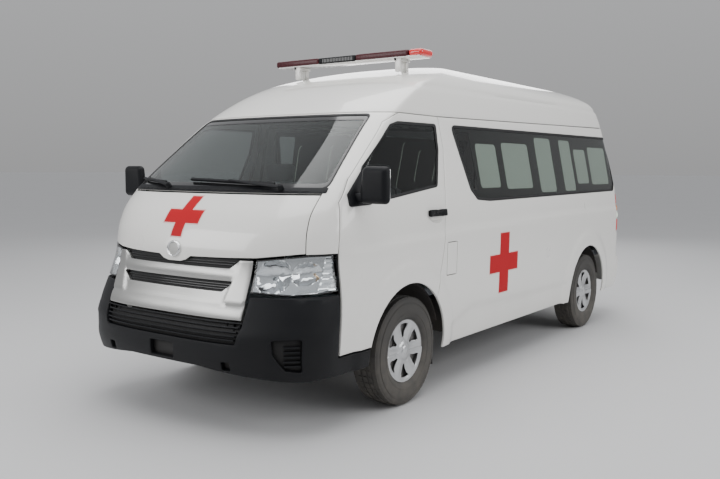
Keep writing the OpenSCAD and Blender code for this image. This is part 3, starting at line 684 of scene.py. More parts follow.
def joined(*meshes):
    """Several (points, faces) as one."""
    points, faces, first = [], [], 0
    for p, f in meshes:
        points.append(np.asarray(p, float))
        faces += [tuple(int(i) + first for i in face) for face in f]
        first += len(p)
    return np.concatenate(points), faces


def fitting(name, meshes, material, body="body", stands_for=(), sharp=32):
    """One piece made of several shapes."""
    return piece(name, joined(*meshes), material, body, stands_for, sharp)


def mirrored(mesh):
    """The same shape on the other side of the van, with its faces turned back."""
    points, faces = mesh
    return np.asarray(points) * (-1, 1, 1), [tuple(reversed(f)) for f in faces]


print("piece maker ready")

# %% [markdown]
# ## Outlines of the panels
#
# The numbers are the CAD source's own outlines, in millimetres.

# %% Outlines
PILLAR_Y = FRONT_AXLE + 62
DOOR = [(-2227, 442), (-2207, 1034), (-2185, 1200), (-2164, 1286), (-2049, 1414), (-1631, 1758),
        (-1535, 1800), (-1460, ROOF_LINE), (-987, ROOF_LINE), (-979, 1602), (-1052, 1274),
        (-1104, 1002), (-1139, 842), (-1220, 600), (-1520, 442)]
DOOR_WINDOW = rounded([(-2095, 1272), (-1930, 1486), (-1588, 1742), (-1500, 1764),
                       (-1036, 1768), (-1050, 1600), (-1135, 1362), (-1676, 1302)], 24)
WINDOW_FRONT, WINDOW_REAR = FRONT_AXLE + 690, TAIL - 330
SIDE_WINDOW = rounded([(WINDOW_FRONT, 1772), (WINDOW_FRONT + 150, 1330),
                       (WINDOW_FRONT + 230, 1262), (WINDOW_FRONT + 420, 1248),
                       (WINDOW_REAR - 50, 1268), (WINDOW_REAR - 5, 1330),
                       (WINDOW_REAR - 5, 1600), (WINDOW_REAR, 1792)], 40)
SLIDE_FRONT, SLIDE_REAR = FRONT_AXLE + 610, FRONT_AXLE + 1740
SLIDING = rounded(rectangle(SLIDE_FRONT, 345, SLIDE_REAR, 1800), 30)
FUEL_LID = rounded(rectangle(-1069, 770, -936, 990), 14)
BONNET = [(-573, 984), (-418, 979), (-132, 973), (-92, 950), (-48, 940), (48, 940),
          (92, 950), (132, 973), (418, 979), (573, 984),
          (802, 1010), (791, 1198), (788, 1328), (-788, 1328), (-791, 1198), (-802, 1010)]
WINDSCREEN = rounded([(-800, 1356), (800, 1356), (706, 1806), (-706, 1806)], 40)
TAILGATE = rounded([(-765, 640), (765, 640), (750, 1300), (680, 1890), (-680, 1890),
                    (-750, 1300)], 60)
TAILGATE_WINDOW = rounded([(-660, 1300), (660, 1300), (610, 1790), (-610, 1790)], 50)
LAMP_FOOT, LAMP_HEAD, LAMP_INNER = 860, 1240, 777
BUMPER_REAR_Y, BUMPER_REAR_TOP = 2440.0, 640.0
INTAKE = rounded([(-570, 640), (-540, 530), (540, 530), (570, 640)], 12)


def open_path(points, step=22.0):
    out = []
    for a, b in zip(points[:-1], points[1:]):
        a, b = np.array(a, float), np.array(b, float)
        k = max(1, int(np.ceil(np.linalg.norm(b - a) / step)))
        out += [a + (b - a) * j / k for j in range(k)]
    return np.array(out + [np.array(points[-1], float)])


def along_side(points):
    p = open_path(points)
    return np.stack([run_at_side(p[:, 0], p[:, 1]), p[:, 1]], 1)


def along_tail(points):
    """A path on the +X half of the tail, given as (x, z), in the side's coordinates."""
    p = open_path(points)
    return np.stack([FULL_RUN + run_at_rear(p[:, 0], p[:, 1]), p[:, 1]], 1)


def along_nose(points):
    p = open_path(points)
    return np.stack([run_at_front(p[:, 0], p[:, 1]), p[:, 1]], 1)


def one_loop(*paths):
    """Several paths as one closed loop, without doubled points."""
    p = np.concatenate(paths)
    far = np.linalg.norm(p - np.roll(p, 1, 0), axis=1) > 1.0
    return p[far]


def flipped(loop):
    """The same loop on the other side of the van."""
    return np.asarray(loop) * (-1, 1)


def roof_line_at(y):
    return np.interp(y, [FRONT_AXLE + 560, TAIL], [ROOF_LINE, ROOF_LINE + ROOF_LINE_RISE])


print("outlines drawn")

# %% [markdown]
# ## Body sides
#
# Each side is one pressing from the front door to the tailgate, with its window, the
# wheel arches, the lamp and the fuel lid cut out. The right one also gives way to
# the sliding door.

# %% Side panels
side_outer = one_loop(
    along_side([(PILLAR_Y, 290), (BUMPER_REAR_Y, 290), (BUMPER_REAR_Y, BUMPER_REAR_TOP)]),
    along_tail([(880, BUMPER_REAR_TOP), (765, BUMPER_REAR_TOP), (750, 1300), (680, 1893)]),
    along_side([(2520, 1890), (FRONT_AXLE + 560, ROOF_LINE), (PILLAR_Y, ROOF_LINE),
                (PILLAR_Y, 290)]))
lamp_loop = one_loop(along_tail([(LAMP_INNER, LAMP_FOOT), (LAMP_INNER, LAMP_HEAD)]),
                     along_side([(TAIL - 330, LAMP_HEAD), (TAIL - 330, LAMP_FOOT)]))
door_loop, door_window_loop = from_side(DOOR), from_side(DOOR_WINDOW)
window_loop = from_side(SIDE_WINDOW)
slide_loop, fuel_loop = from_side(SLIDING), from_side(FUEL_LID, step=12)
arch_front_loop = from_side(circle(FRONT_AXLE, ARCH_Z, ARCH_R))
arch_rear_loop = from_side(circle(REAR_AXLE, ARCH_Z, ARCH_R))


def region(outer, *cuts):
    """A test that keeps what is inside the outer loop and outside every cut."""
    def keep(p):
        yes = inside(outer, p)
        for cut in cuts:
            yes &= ~inside(cut, p)
        return yes
    return keep


def sheet(loops, edge, thick, lift, grid=60, surface=skin, gap=0):
    """A closed sheet laid over the first loop, with the other loops as its holes."""
    return panel_mesh(surface, loops, region(*loops), gap, edge, thick, lift, grid)


def cut_panel(name, outer, cuts, material, body, stands_for, slot, side=1, surface=skin,
              guides=(), **sizes):
    """A panel whose loops are drawn on the +X side, made on either side. Guides add edges
    where a pressing needs them, and cut nothing."""
    loops = [np.asarray(loop) * (side, 1) for loop in (outer, *cuts)]
    extra = [np.asarray(loop) * (side, 1) for loop in guides]
    mesh = panel_mesh(surface, loops + extra, region(*loops), **sizes)
    made = piece(name, mesh, material, body, stands_for)
    print(name, len(made.data.polygons), "faces")
    return made


def flare_guides(axle):
    """Rings that give the arch flare its own edges."""
    return [from_side(circle(axle, ARCH_Z, r)) for r in (588, 560, 530)]


side_cuts = [door_loop, arch_front_loop, arch_rear_loop, window_loop, lamp_loop]
flares = flare_guides(FRONT_AXLE) + flare_guides(REAR_AXLE)
cut_panel("side_left", side_outer, side_cuts + [fuel_loop], paint, "body",
          ["side_panel_left"], "body_paint", guides=flares, grid=30)
cut_panel("side_right", side_outer, side_cuts + [slide_loop], paint, "body",
          ["side_panel_right"], "body_paint", side=-1, guides=flares, grid=30)
cut_panel("sliding_door_skin", slide_loop, [window_loop], paint, "body", ["sliding_door"],
          "body_paint", side=-1)
cut_panel("fuel_lid_skin", fuel_loop, [], paint, "fuel_lid", ["fuel_lid"], "body_paint",
          thick=10, grid=24)

# %% [markdown]
# ## Front doors, bonnet and pillars
#
# The door's shut line runs up the raked pillar and round the wheel arch. The bonnet
# is short and steep on a van whose engine lies under the seats.

# %% Doors, bonnet, pillars
cups = [from_side(np.stack([CUP[0] + CUP[2] * k * np.cos(SWEEP),
                            CUP[1] + CUP[3] * k * np.sin(SWEEP)], 1)) for k in (1, 0.8, 0.6, 0.3)]
for side, word in SIDES:
    cut_panel(f"door_{word}_skin", door_loop, [arch_front_loop, door_window_loop], paint,
              f"front_door_{word}", [f"front_door_{word}"], "body_paint", side=side,
              guides=flare_guides(FRONT_AXLE) + cups, grid=30)

bonnet_loop = from_front(BONNET)
cut_panel("bonnet_skin", bonnet_loop, [], paint, "bonnet", ["bonnet"], "body_paint", thick=8,
          gap=3)

half_pillar = one_loop(
    along_nose([(0, 1334), (788, 1334), (788, 1328), (791, 1198), (802, 1005), (860, 1006)]),
    along_side([(-2240, 1007), (-2210, 1007), (-2207, 1034), (-2185, 1200), (-2164, 1286),
                (-2049, 1414), (-1631, 1758), (-1535, 1800), (PILLAR_Y, ROOF_LINE)]),
    along_side([(PILLAR_Y, ROOF_LINE), (-1530, ROOF_LINE)]),
    along_nose([(730, ROOF_LINE), (0, ROOF_LINE)]))
pillar_loop = one_loop(half_pillar, flipped(half_pillar)[::-1][1:-1])
screen_loop = from_front(WINDSCREEN)
cut_panel("pillars_and_wings", pillar_loop, [screen_loop], paint, "body",
          ["windscreen_frame", "front_fenders"], "body_paint", thick=7)

# %% [markdown]
# ## Roof
#
# The roof is a deep pressing that closes over the crown. It is laid as levels of
# points round the whole van that draw together towards the top, because a flat
# triangulation would fold where the rings shrink.

# %% Roof panel
def roof_mesh(columns=220, levels=34, thick=14.0):
    run = np.linspace(-FULL_RUN, FULL_RUN, columns, endpoint=False)
    foot_y = skin_plain(run, np.full_like(run, ROOF_LINE + 30))[:, 1]
    foot = roof_line_at(foot_y) + 2.5
    shares = 1 - (1 - np.linspace(0, 1, levels)) ** 1.8
    rows = []
    for depth in (0.0, thick):
        for k, share in enumerate(shares):
            z = foot + (CROWN - foot) * share
            edge = 3.0 if k == 0 and depth == 0.0 else 0.0
            p = skin(run, z + edge)
            n = skin_normal(skin_plain, run, np.minimum(z, CROWN - 4))
            rows.append(p - n * depth)
            if edge:
                for turn in (30, 60, 90):
                    t = np.radians(turn)
                    p = skin(run, z + edge * (1 - np.sin(t)))
                    rows.insert(0, p - n * edge * (1 - np.cos(t)))
    outer = levels + 3
    points = np.concatenate(rows)
    faces, n = [], columns
    for k in range(outer - 1):
        for j in range(n):
            i = (j + 1) % n
            faces.append((k * n + j, k * n + i, (k + 1) * n + i, (k + 1) * n + j))
    for k in range(outer, outer + levels - 1):
        for j in range(n):
            i = (j + 1) % n
            faces.append((k * n + j, (k + 1) * n + j, (k + 1) * n + i, k * n + i))
    for j in range(n):
        i = (j + 1) % n
        faces.append((outer * n + j, outer * n + i, i, j))
    half = n // 2
    for base, turned in (((outer - 1) * n, False), ((outer + levels - 1) * n, True)):
        for j in range(1, half):
            a, b = base + half - j, base + half - j + 1
            c, d = base + (half + j - 1) % n, base + (half + j) % n
            quad = (a, b, c, d) if len({a, b, c, d}) == 4 else (a, b, d)
            faces.append(tuple(reversed(quad)) if turned else quad)
    return points * MM, faces


roof = piece("roof_skin", roof_mesh(), paint, "body", ["roof_panel"])
print("roof", len(roof.data.polygons), "faces")

# %% [markdown]
# ## Small shapes
#
# Most fittings are bevelled blocks or turned shapes. These helpers make them as
# closed meshes whose faces point outwards, so that each later cell stays short.

# %% Blocks, turned shapes and tubes
def outward(mesh):
    """The mesh with its faces turned to point out of the solid."""
    points, faces = np.asarray(mesh[0], float), mesh[1]
    volume = 0.0
    for f in faces:
        for a, b in zip(f[1:-1], f[2:]):
            volume += np.dot(points[f[0]], np.cross(points[a], points[b]))
    return points, ([tuple(reversed(f)) for f in faces] if volume < 0 else list(faces))


def block(low, high, r=4.0, segments=2, taper=None):
    """A bevelled block between two corners, in millimetres. taper(points) may reshape it."""
    work = bmesh.new()
    bmesh.ops.create_cube(work, size=1)
    low, high = np.array(low, float), np.array(high, float)
    for v in work.verts:
        v.co = Vector((low + high) / 2 + np.array(v.co) * (high - low))
    if r:
        bmesh.ops.bevel(work, geom=list(work.edges) + list(work.verts), offset=r,
                        segments=segments, profile=0.5, affect="EDGES")
    points = np.array([v.co for v in work.verts])
    faces = [tuple(v.index for v in f.verts) for f in work.faces]
    work.free()
    if taper is not None:
        points = taper(points)
    return outward((points * MM, faces))


def turned(profile, steps=48):
    """A closed loop of (radius, distance along X) turned about the X axis, in millimetres."""
    p = np.array(profile, float)
    a = np.linspace(0, 2 * np.pi, steps, endpoint=False)
    points, index = [], []
    for r, h in p:
        if r < 1e-6:
            index.append([len(points)] * steps)
            points.append((h, 0, 0))
        else:
            index.append(list(range(len(points), len(points) + steps)))
            points += [(h, r * np.cos(t), r * np.sin(t)) for t in a]
    faces, n = [], len(p)
    for k in range(n):
        u, v = index[k], index[(k + 1) % n]
        for j in range(steps):
            i = (j + 1) % steps
            quad = [u[j], u[i], v[i], v[j]]
            quad = [q for m, q in enumerate(quad) if q not in quad[:m]]
            if len(quad) > 2:
                faces.append(tuple(quad))
    return outward((np.array(points) * MM, faces))


def aimed(mesh, place, axis, turn_up=(0, 0, 1)):
    """A shape along the X axis, moved to a place (mm) and aimed along an axis."""
    points, faces = mesh
    x = np.array(axis, float) / np.linalg.norm(axis)
    u = np.array(turn_up, float)
    y = np.cross(u, x)
    y /= np.linalg.norm(y)
    z = np.cross(x, y)
    return points @ np.stack([x, y, z]) + np.array(place, float) * MM, faces


def tube(path, r, steps=12):
    """A round bar along a path of points in millimetres, closed at both ends."""
    path = np.array(path, float)
    d = np.gradient(path, axis=0)
    d /= np.linalg.norm(d, axis=1, keepdims=True)
    ref = np.array((0, 0, 1.0)) if abs(d[0][2]) < 0.9 else np.array((0, 1.0, 0))
    rings, faces = [], []
    for p, t in zip(path, d):
        u = np.cross(ref, t)
        u /= np.linalg.norm(u)
        ref = np.cross(t, u)
        a = np.linspace(0, 2 * np.pi, steps, endpoint=False)
        rings.append(p + r * (np.cos(a)[:, None] * u + np.sin(a)[:, None] * ref))
    for k in range(len(path) - 1):
        for j in range(steps):
            i = (j + 1) % steps
            faces.append((k * steps + j, k * steps + i, (k + 1) * steps + i,
                          (k + 1) * steps + j))
    last = (len(path) - 1) * steps
    faces += [tuple(range(steps - 1, -1, -1)), tuple(range(last, last + steps))]
    return outward((np.concatenate(rings) * MM, faces))


def facing(surface, run, z):
    """Place in millimetres and outward direction of a point of a surface."""
    run, z = np.array([run], float), np.array([z], float)
    return surface(run, z)[0], skin_normal(surface, run, z)[0]


print("block:", len(block((0, 0, 0), (10, 10, 10))[1]), "faces")

# %% [markdown]
# ## Repeated pieces
#
# Slats, tread blocks, lens ribs and bolts are the same small piece many times. A
# Geometry Nodes tree puts the object's own piece round an axle or along a row, makes
# the copies real and gives them their material, because an export drops instances.

# %% Repeat trees
def repeat_tree(kind):
    """kind is 'ring', for copies round the X axis, or 'row', for copies a step apart."""
    tree = bpy.data.node_groups.new("repeat in a " + kind, "GeometryNodeTree")
    face = tree.interface
    face.new_socket(name="Geometry", in_out="INPUT", socket_type="NodeSocketGeometry")
    face.new_socket(name="Count", in_out="INPUT", socket_type="NodeSocketInt")
    if kind == "row":
        face.new_socket(name="Step", in_out="INPUT", socket_type="NodeSocketVector")
    face.new_socket(name="Material", in_out="INPUT", socket_type="NodeSocketMaterial")
    face.new_socket(name="Geometry", in_out="OUTPUT", socket_type="NodeSocketGeometry")
    new, link = tree.nodes.new, tree.links.new
    given, result = new("NodeGroupInput"), new("NodeGroupOutput")
    line, place = new("GeometryNodeMeshLine"), new("GeometryNodeInstanceOnPoints")
    real, dress = new("GeometryNodeRealizeInstances"), new("GeometryNodeSetMaterial")
    link(given.outputs["Count"], line.inputs["Count"])
    if kind == "row":
        link(given.outputs["Step"], line.inputs["Offset"])
    else:
        line.inputs["Offset"].default_value = (0, 0, 0)
        index, angle = new("GeometryNodeInputIndex"), new("ShaderNodeMath")
        share, turn = new("ShaderNodeMath"), new("ShaderNodeCombineXYZ")
        share.operation, angle.operation = "DIVIDE", "MULTIPLY"
        angle.inputs[1].default_value = 2 * np.pi
        link(index.outputs[0], share.inputs[0])
        link(given.outputs["Count"], share.inputs[1])
        link(share.outputs[0], angle.inputs[0])
        link(angle.outputs[0], turn.inputs["X"])
        link(turn.outputs[0], place.inputs["Rotation"])
    link(line.outputs["Mesh"], place.inputs["Points"])
    link(given.outputs["Geometry"], place.inputs["Instance"])
    link(place.outputs["Instances"], real.inputs["Geometry"])
    link(real.outputs["Geometry"], dress.inputs["Geometry"])
    link(given.outputs["Material"], dress.inputs["Material"])
    link(dress.outputs["Geometry"], result.inputs["Geometry"])
    return tree


TREES = {kind: repeat_tree(kind) for kind in ("ring", "row")}


def repeated(mesh, kind, material, count, step=(0, 0, 0)):
    """Points (metres) and faces of the piece, repeated by its tree."""
    seed = plain_mesh("seed", *mesh)
    tree = TREES[kind]
    modifier = seed.modifiers.new("repeat", "NODES")
    modifier.node_group = tree
    values = {"Count": count, "Step": [s * MM for s in step], "Material": material}
    for item in tree.interface.items_tree:
        if item.in_out == "INPUT" and item.name in values:
            modifier[item.identifier] = values[item.name]
    bpy.context.view_layer.update()
    made = bpy.data.meshes.new_from_object(
        seed.evaluated_get(bpy.context.evaluated_depsgraph_get()))
    points = np.array([v.co for v in made.vertices])
    faces = [tuple(p.vertices) for p in made.polygons]
    seed.modifiers.clear()
    bpy.data.objects.remove(seed)
    return points, faces


print(len(repeated(block((0, 0, 0), (9, 9, 9), 0), "ring", seal, 6)[1]), "faces from 6 copies")

# %% [markdown]
# ## Front: bumper, grille and cowl
#
# The bumper is one black moulding that climbs the corners to the headlamps and runs
# back under the doors. Between the lamps a silver panel frames two dark slots, and a
# black cowl closes the gap under the windscreen.

# %% Front bumper
half_bumper = one_loop(
    along_nose([(0, 648), (566, 648), (570, 784), (700, 784), (774, 784)]),
    along_side([(-2240, 788), (-2232, 786), (-2232, 436), (-1939, 436), (-1946, 396),
                (-1950, 345), (-1950, 330), (-2240, 330)]),
    along_nose([(868, 322), (600, 350), (280, 382), (0, 382)]))
bumper_loop = one_loop(half_bumper, flipped(half_bumper)[::-1][1:-1])
intake_loop = from_front(INTAKE)
fog_shape = rounded([(738, 560), (862, 566), (856, 384), (794, 398), (743, 488)], 14)
fog_loop = from_front(fog_shape)
plate_shape = rounded(rectangle(-92, 404, 92, 488), 6)
hole_shape = rounded(rectangle(456, 380, 504, 424), 5)
bumper_cuts = [intake_loop, fog_loop, flipped(fog_loop), from_front(plate_shape),
               from_front(hole_shape), flipped(from_front(hole_shape))]
cut_panel("front_bumper_moulding", bumper_loop, bumper_cuts, moulded, "body",
          ["front_bumper"], "black_plastic", edge=5, thick=34, grid=30)


fitting("bumper_backings", [sheet([grown(cut, 8)], 1, 4, -30) for cut in bumper_cuts], seal)
bars = []
for z in (550, 574, 598, 622):
    half = 556 - (640 - z) * 0.25
    loop = from_front(rounded(rectangle(-half, z - 4.5, half, z + 4.5), 3), step=30)
    bars.append(sheet([loop], 2, 16, -6))
for side in (1, -1):
    for z in (420, 446, 472, 498, 524):
        loop = from_front(rounded(rectangle(790, z - 5, 856, z + 5), 3), step=30) * (side, 1)
        bars.append(sheet([loop], 2, 20, -8))
fitting("bumper_slats", bars, moulded)
ribs = repeated(block((-552, -2618, 534), (-547, -2603, 636), 1, 1), "row", moulded, 24,
                (48, 0, 0))
piece("intake_ribs", ribs, moulded, "body", ())

# %% Grille, bonnet badge and cowl
def grille_skin(run, z):
    p = skin(run, z)
    x = np.abs(p[..., 0])
    bar = 9 * np.exp(-(((z - 890) / 27) ** 2)) * ease((545 - x) / 60)
    ends = 9 * ease((x - 405 - (z - 735) * 0.25) / 26) * ease((z - 728) / 16) * ease(
        (566 - x) / 14)
    lower = 6 * ease((735 - z) / 20) * ease((z - 650) / 30)
    return p + skin_normal(skin_plain, run, z) * (np.maximum(bar, ends) + lower)[..., None]


GRILLE = [(-560, 654), (560, 654), (562, 972), (480, 974), (470, 966), (420, 928), (-420, 928),
          (-470, 966), (-480, 974), (-562, 972)]
GRILLE_SLOT = rounded([(-456, 853), (456, 853), (392, 803), (-392, 803)], 8)
grille_loop, slot_loop = from_front(GRILLE, 16), from_front(GRILLE_SLOT, 16)
cut_panel("grille_panel", grille_loop, [slot_loop], silver, "body", ["grille"],
          "bright_plate", surface=grille_skin, thick=26, grid=18, edge=4)
behind = from_front(rectangle(-545, 790, 545, 976))
fitting("grille_backing", [sheet([behind], 1, 3, -22)], seal)
thin_bars = []
for z, half in ((815, 400), (828, 418), (841, 436), (944, 430), (958, 450)):
    loop = from_front(rectangle(-half, z - 2, half, z + 2), step=30)
    thin_bars.append(sheet([loop], 1, 6, -12))
fitting("grille_slats", thin_bars, gloss_black)

place, normal = facing(skin, 0.0, 1012)
ring_loop = [(48 + 7 * np.cos(t), 8 * np.sin(t) + 5) for t in np.linspace(0, 2 * np.pi, 12, False)]
disc = [(0, -8), (44, -8), (44, 6), (0, 7)]
squeeze, lowered = (1.0, 1, 0.86), (0, 0, 1.012 * 0.14)
for name, profile, material in (("bonnet_roundel_ring", ring_loop, chrome),
                                ("bonnet_roundel_disc", disc, silver)):
    points, faces = aimed(turned(profile, 56), place, normal)
    piece(name, (points * squeeze + lowered, faces), material, "bonnet", ())

cowl_loop = from_front(rounded([(-806, 1336), (806, 1336), (800, 1366), (-800, 1366)], 6))
fitting("cowl", [sheet([cowl_loop], 2, 5, 3, 40)], moulded)
louvres = []
for x in np.arange(-700, 701, 56):
    loop = from_front(rectangle(x - 20, 1343, x + 20, 1347))
    louvres.append(sheet([loop], 1, 3, 5.5))
fitting("cowl_louvres", louvres, seal)
print("front fittings made")

# %% [markdown]
# ## Crosses
#
# A plain red cross marks the vehicle on the bonnet and on each side. It is a thin film
# laid on the paint, with a paler border left by the cutter.

# %% Crosses
def cross(cx, cz, half_w, half_h, arm_w, arm_h):
    return np.array([(cx - arm_w, cz - half_h), (cx + arm_w, cz - half_h),
                     (cx + arm_w, cz - arm_h), (cx + half_w, cz - arm_h),
                     (cx + half_w, cz + arm_h), (cx + arm_w, cz + arm_h),
                     (cx + arm_w, cz + half_h), (cx - arm_w, cz + half_h),
                     (cx - arm_w, cz + arm_h), (cx - half_w, cz + arm_h),
                     (cx - half_w, cz - arm_h), (cx - arm_w, cz - arm_h)], float)


def film(name, loop, material, body, lift):
    return fitting(name, [sheet([loop], 0.3, 1.2, lift, 26)], material, body)


def lying(cx, cz, half_w, half_h, arm_w, arm_h):
    shape = cross(cx, cz, half_w, half_h, arm_w, arm_h)
    return shape, grown(shape, 7)


shape, border_shape = lying(-6, 1194, 144, 113, 43, 37)
film("bonnet_cross_edge", from_front(border_shape, 14), cross_edge, "bonnet", 0.5)
film("bonnet_cross", from_front(shape, 14), cross_red, "bonnet", 0.9)
shape, border_shape = lying(-205, 779, 236, 224, 76, 66)
for side, word in SIDES:
    film(f"side_cross_edge_{word}", from_side(border_shape, side, 16), cross_edge, "body", 0.5)
    film(f"side_cross_{word}", from_side(shape, side, 16), cross_red, "body", 0.9)
print("3 crosses laid")

# %% [markdown]
# ## Glass and its rubber
#
# Each pane is a thin closed sheet just under the skin. A black rubber lip covers its
# edge, and the windscreen has a black printed border as well.

# %% Panes
def pane(name, loop, cuts, material, body, stands_for, slot, side=1, surface=skin):
    return cut_panel(name, loop, cuts, material, body, stands_for, slot, side, surface,
                     gap=1.5, edge=1, thick=5, lift=-3, grid=40)


def lip(name, loop, body, outer=5.0, inner=13.0, lift=1.6, thick=10.0, side=1,
        surface=skin, material=seal):
    """A ring over the edge of a pane, reaching outwards and inwards from its outline."""
    ring = [grown(loop, outer) * (side, 1), grown(loop, -inner) * (side, 1)]
    return fitting(name, [sheet(ring, 1.4, thick, lift, 60, surface)], material, body)


pane("windscreen_pane", screen_loop, [], screen_tint, "body", ["windscreen"],
     "windscreen_glass")
lip("windscreen_border", screen_loop, "body", 3, 34, -1.2, 1.4, material=gloss_black)
lip("windscreen_rubber", screen_loop, "body", 7, 7, 2.0, 8)
for side, word in SIDES:
    pane(f"door_pane_{word}", door_window_loop, [], side_tint, f"front_door_{word}",
         [f"door_glass_{word}"], "window_glass", side)
    lip(f"door_rubber_{word}", door_window_loop, f"front_door_{word}", 5, 15, side=side)
pane("side_pane_left", window_loop, [], side_tint, "body", ["side_glass_left"],
     "window_glass")
lip("side_rubber_left", window_loop, "body", 4, 16)
slide_bands = [from_side(rectangle(y - 26, 1100, y + 26, 1900)) for y in (SLIDE_FRONT, SLIDE_REAR)]
pane("side_pane_right", window_loop, slide_bands, side_tint, "body", ["side_glass_right"],
     "window_glass", -1)
lip("side_rubber_right", window_loop, "body", 4, 16, side=-1)
joint_bar = from_side(rectangle(SLIDE_REAR - 29, 1252, SLIDE_REAR + 29, 1782), -1)
fitting("side_window_joint", [sheet([joint_bar], 1, 5, -3.5)], gloss_black)

# %% Tailgate and rear bumper
tailgate_loop, tailgate_window_loop = from_rear(TAILGATE), from_rear(TAILGATE_WINDOW)
cut_panel("tailgate_skin", tailgate_loop, [tailgate_window_loop], paint, "tailgate",
          ["tailgate"], "body_paint", surface=skin_rear)
pane("tailgate_pane", tailgate_window_loop, [], side_tint, "tailgate", ["tailgate_glass"],
     "window_glass", surface=skin_rear)
lip("tailgate_rubber", tailgate_window_loop, "tailgate", 5, 18, surface=skin_rear)

half_rear = one_loop(along_tail([(0.01, BUMPER_REAR_TOP - 3), (700, BUMPER_REAR_TOP - 3)]),
                     along_side([(BUMPER_REAR_Y + 1, BUMPER_REAR_TOP - 3),
                                 (BUMPER_REAR_Y + 1, 312)]),
                     along_tail([(700, 312), (0.01, 312)]))
half_rear = half_rear - (FULL_RUN, 0)
rear_loop = one_loop(half_rear, flipped(half_rear)[::-1][1:-1])
cut_panel("rear_bumper_moulding", rear_loop, [], paint, "body", ["rear_bumper"],
          "body_paint", surface=skin_rear, edge=5, thick=20)
pad_loop = from_rear(rounded(rectangle(-620, 588, 620, 626), 8))
fitting("rear_step_pad", [sheet([pad_loop], 2, 6, 4, 40, skin_rear)], moulded)
print("tail closed")

# %% [markdown]
# ## Headlamps
#
# A headlamp is a clear cover over bright reflector bowls. The bowls are pressed into a
# sheet that follows the cover a little way behind it, with flutes in the outer part.

# %% Headlamps
half_lamp = one_loop(
    along_nose([(568, 803), (774, 791)]),
    along_side([(-2290, 800), (-2236, 808), (-2236, 1003), (-2290, 1003)]),
    along_nose([(802, 1001), (573, 975), (568, 965), (568, 803)]))
BOWLS = [(668.0, 888.0, 92.0, 58.0), (812.0, 905.0, 60.0, 40.0)]


def lamp_bowl(run, z):
    p = skin_plain(run, z)
    x = np.abs(p[..., 0])
    depth = np.full_like(x, 12.0)
    for bx, bz, r, deep in BOWLS:
        away = np.hypot(x - bx, z - bz)
        turn = np.arctan2(z - bz, x - bx)
        flute = 1.6 * np.sin(9 * turn) * np.clip(away / r, 0, 1)
        depth = np.maximum(depth, 12 + deep * np.clip(1 - (away / r) ** 2, 0, 1) + np.where(
            away < r, flute, 0))
    depth += np.where(x > 872, 3 * np.sin((z - 800) / 4.2), 0)
    return p - skin_normal(skin_plain, run, z) * depth[..., None]


def both_sides(loop, surface, **sizes):
    """The same panel on the left and the right, as one mesh."""
    made = [panel_mesh(surface, [loop * (side, 1)], region(loop * (side, 1)), **sizes)
            for side in (1, -1)]
    return joined(*made)


piece("headlamp_lenses", both_sides(half_lamp, skin, gap=3, edge=2.5, thick=5, lift=0.5, grid=26),
      clear_lens, "body", ["headlamps"])
piece("headlamp_reflectors", both_sides(half_lamp, lamp_bowl, gap=8, edge=1, thick=3, lift=0,
                                        grid=8), chrome, "body", (), sharp=20)
bezels = [sheet([half_lamp * (side, 1), grown(half_lamp, -9) * (side, 1)], 1, 30, -3, gap=1)
          for side in (1, -1)]
fitting("headlamp_bezels", bezels, gloss_black)
bulbs, caps = [], []
for side in (1, -1):
    for bx, bz, deep, wide, group in ((668, 888, 58, 13, bulbs), (846, 905, 22, 7, caps)):
        run = float(run_at_front(bx, bz)) * side
        spot, normal = facing(skin_plain, run, bz)
        stem = [(0, -deep - 8), (wide, -deep - 8), (wide - 1, -deep + 8), (wide * 0.6, -deep + 14),
                (0, -deep + 16)]
        group.append(aimed(turned(stem, 20), spot, normal))
fitting("headlamp_bulbs", bulbs, clear_lens)
fitting("indicator_bulbs", caps, amber_glass)
print("headlamps made")

# %% [markdown]
# ## Doors: mirrors, handles and seals
#
# The mirror stands on a black corner piece at the foot of the pillar. Handles are
# pull bars over a cup in the door, and a dark sheet under every shut gap is partly
# rubber seal and partly painted shade in the gap.

# %% Mirrors and handles
MIRROR_LOW, MIRROR_HIGH = (922, -2066, 1276), (1121, -2004, 1489)
MIRROR_MIDDLE = (1030.5, 1382.5)


def mirror_taper(p):
    """Rounds the front of the housing and draws its inner edge in towards the top."""
    q = p.copy()
    front = np.clip((MIRROR_HIGH[1] - p[:, 1]) / (MIRROR_HIGH[1] - MIRROR_LOW[1]), 0, 1)
    mid_x, mid_z = MIRROR_MIDDLE
    q[:, 0] = mid_x + (p[:, 0] - mid_x) * (1 - 0.13 * front**2)
    q[:, 2] = mid_z + (p[:, 2] - mid_z) * (1 - 0.10 * front**2)
    up_share = (p[:, 2] - MIRROR_LOW[2]) / (MIRROR_HIGH[2] - MIRROR_LOW[2])
    q[:, 0] += np.where(p[:, 0] < mid_x, 22 * up_share, 0)
    return q


foot_loop = from_side(rounded([(-2114, 1260), (-1900, 1268), (-1935, 1475), (-2104, 1330)], 18), 1)
for side, word in SIDES:
    turn = (lambda m: m) if side == 1 else mirrored
    body = f"front_door_{word}"
    housing = block(MIRROR_LOW, MIRROR_HIGH, 29, 6, mirror_taper)
    arm = block((893, -2060, 1284), (962, -1996, 1336), 12, 3)
    loop = foot_loop * (side, 1)
    foot = sheet([loop], 5, 12, 8, 40)
    piece(f"mirror_housing_{word}", joined(turn(housing), turn(arm), foot), moulded, body,
          [f"mirror_{word}"], sharp=40)
    glass = block((966, -2007, 1296), (1108, -2001.5, 1470), 2.5, 2)
    piece(f"mirror_face_{word}", turn(glass), chrome, body, ())


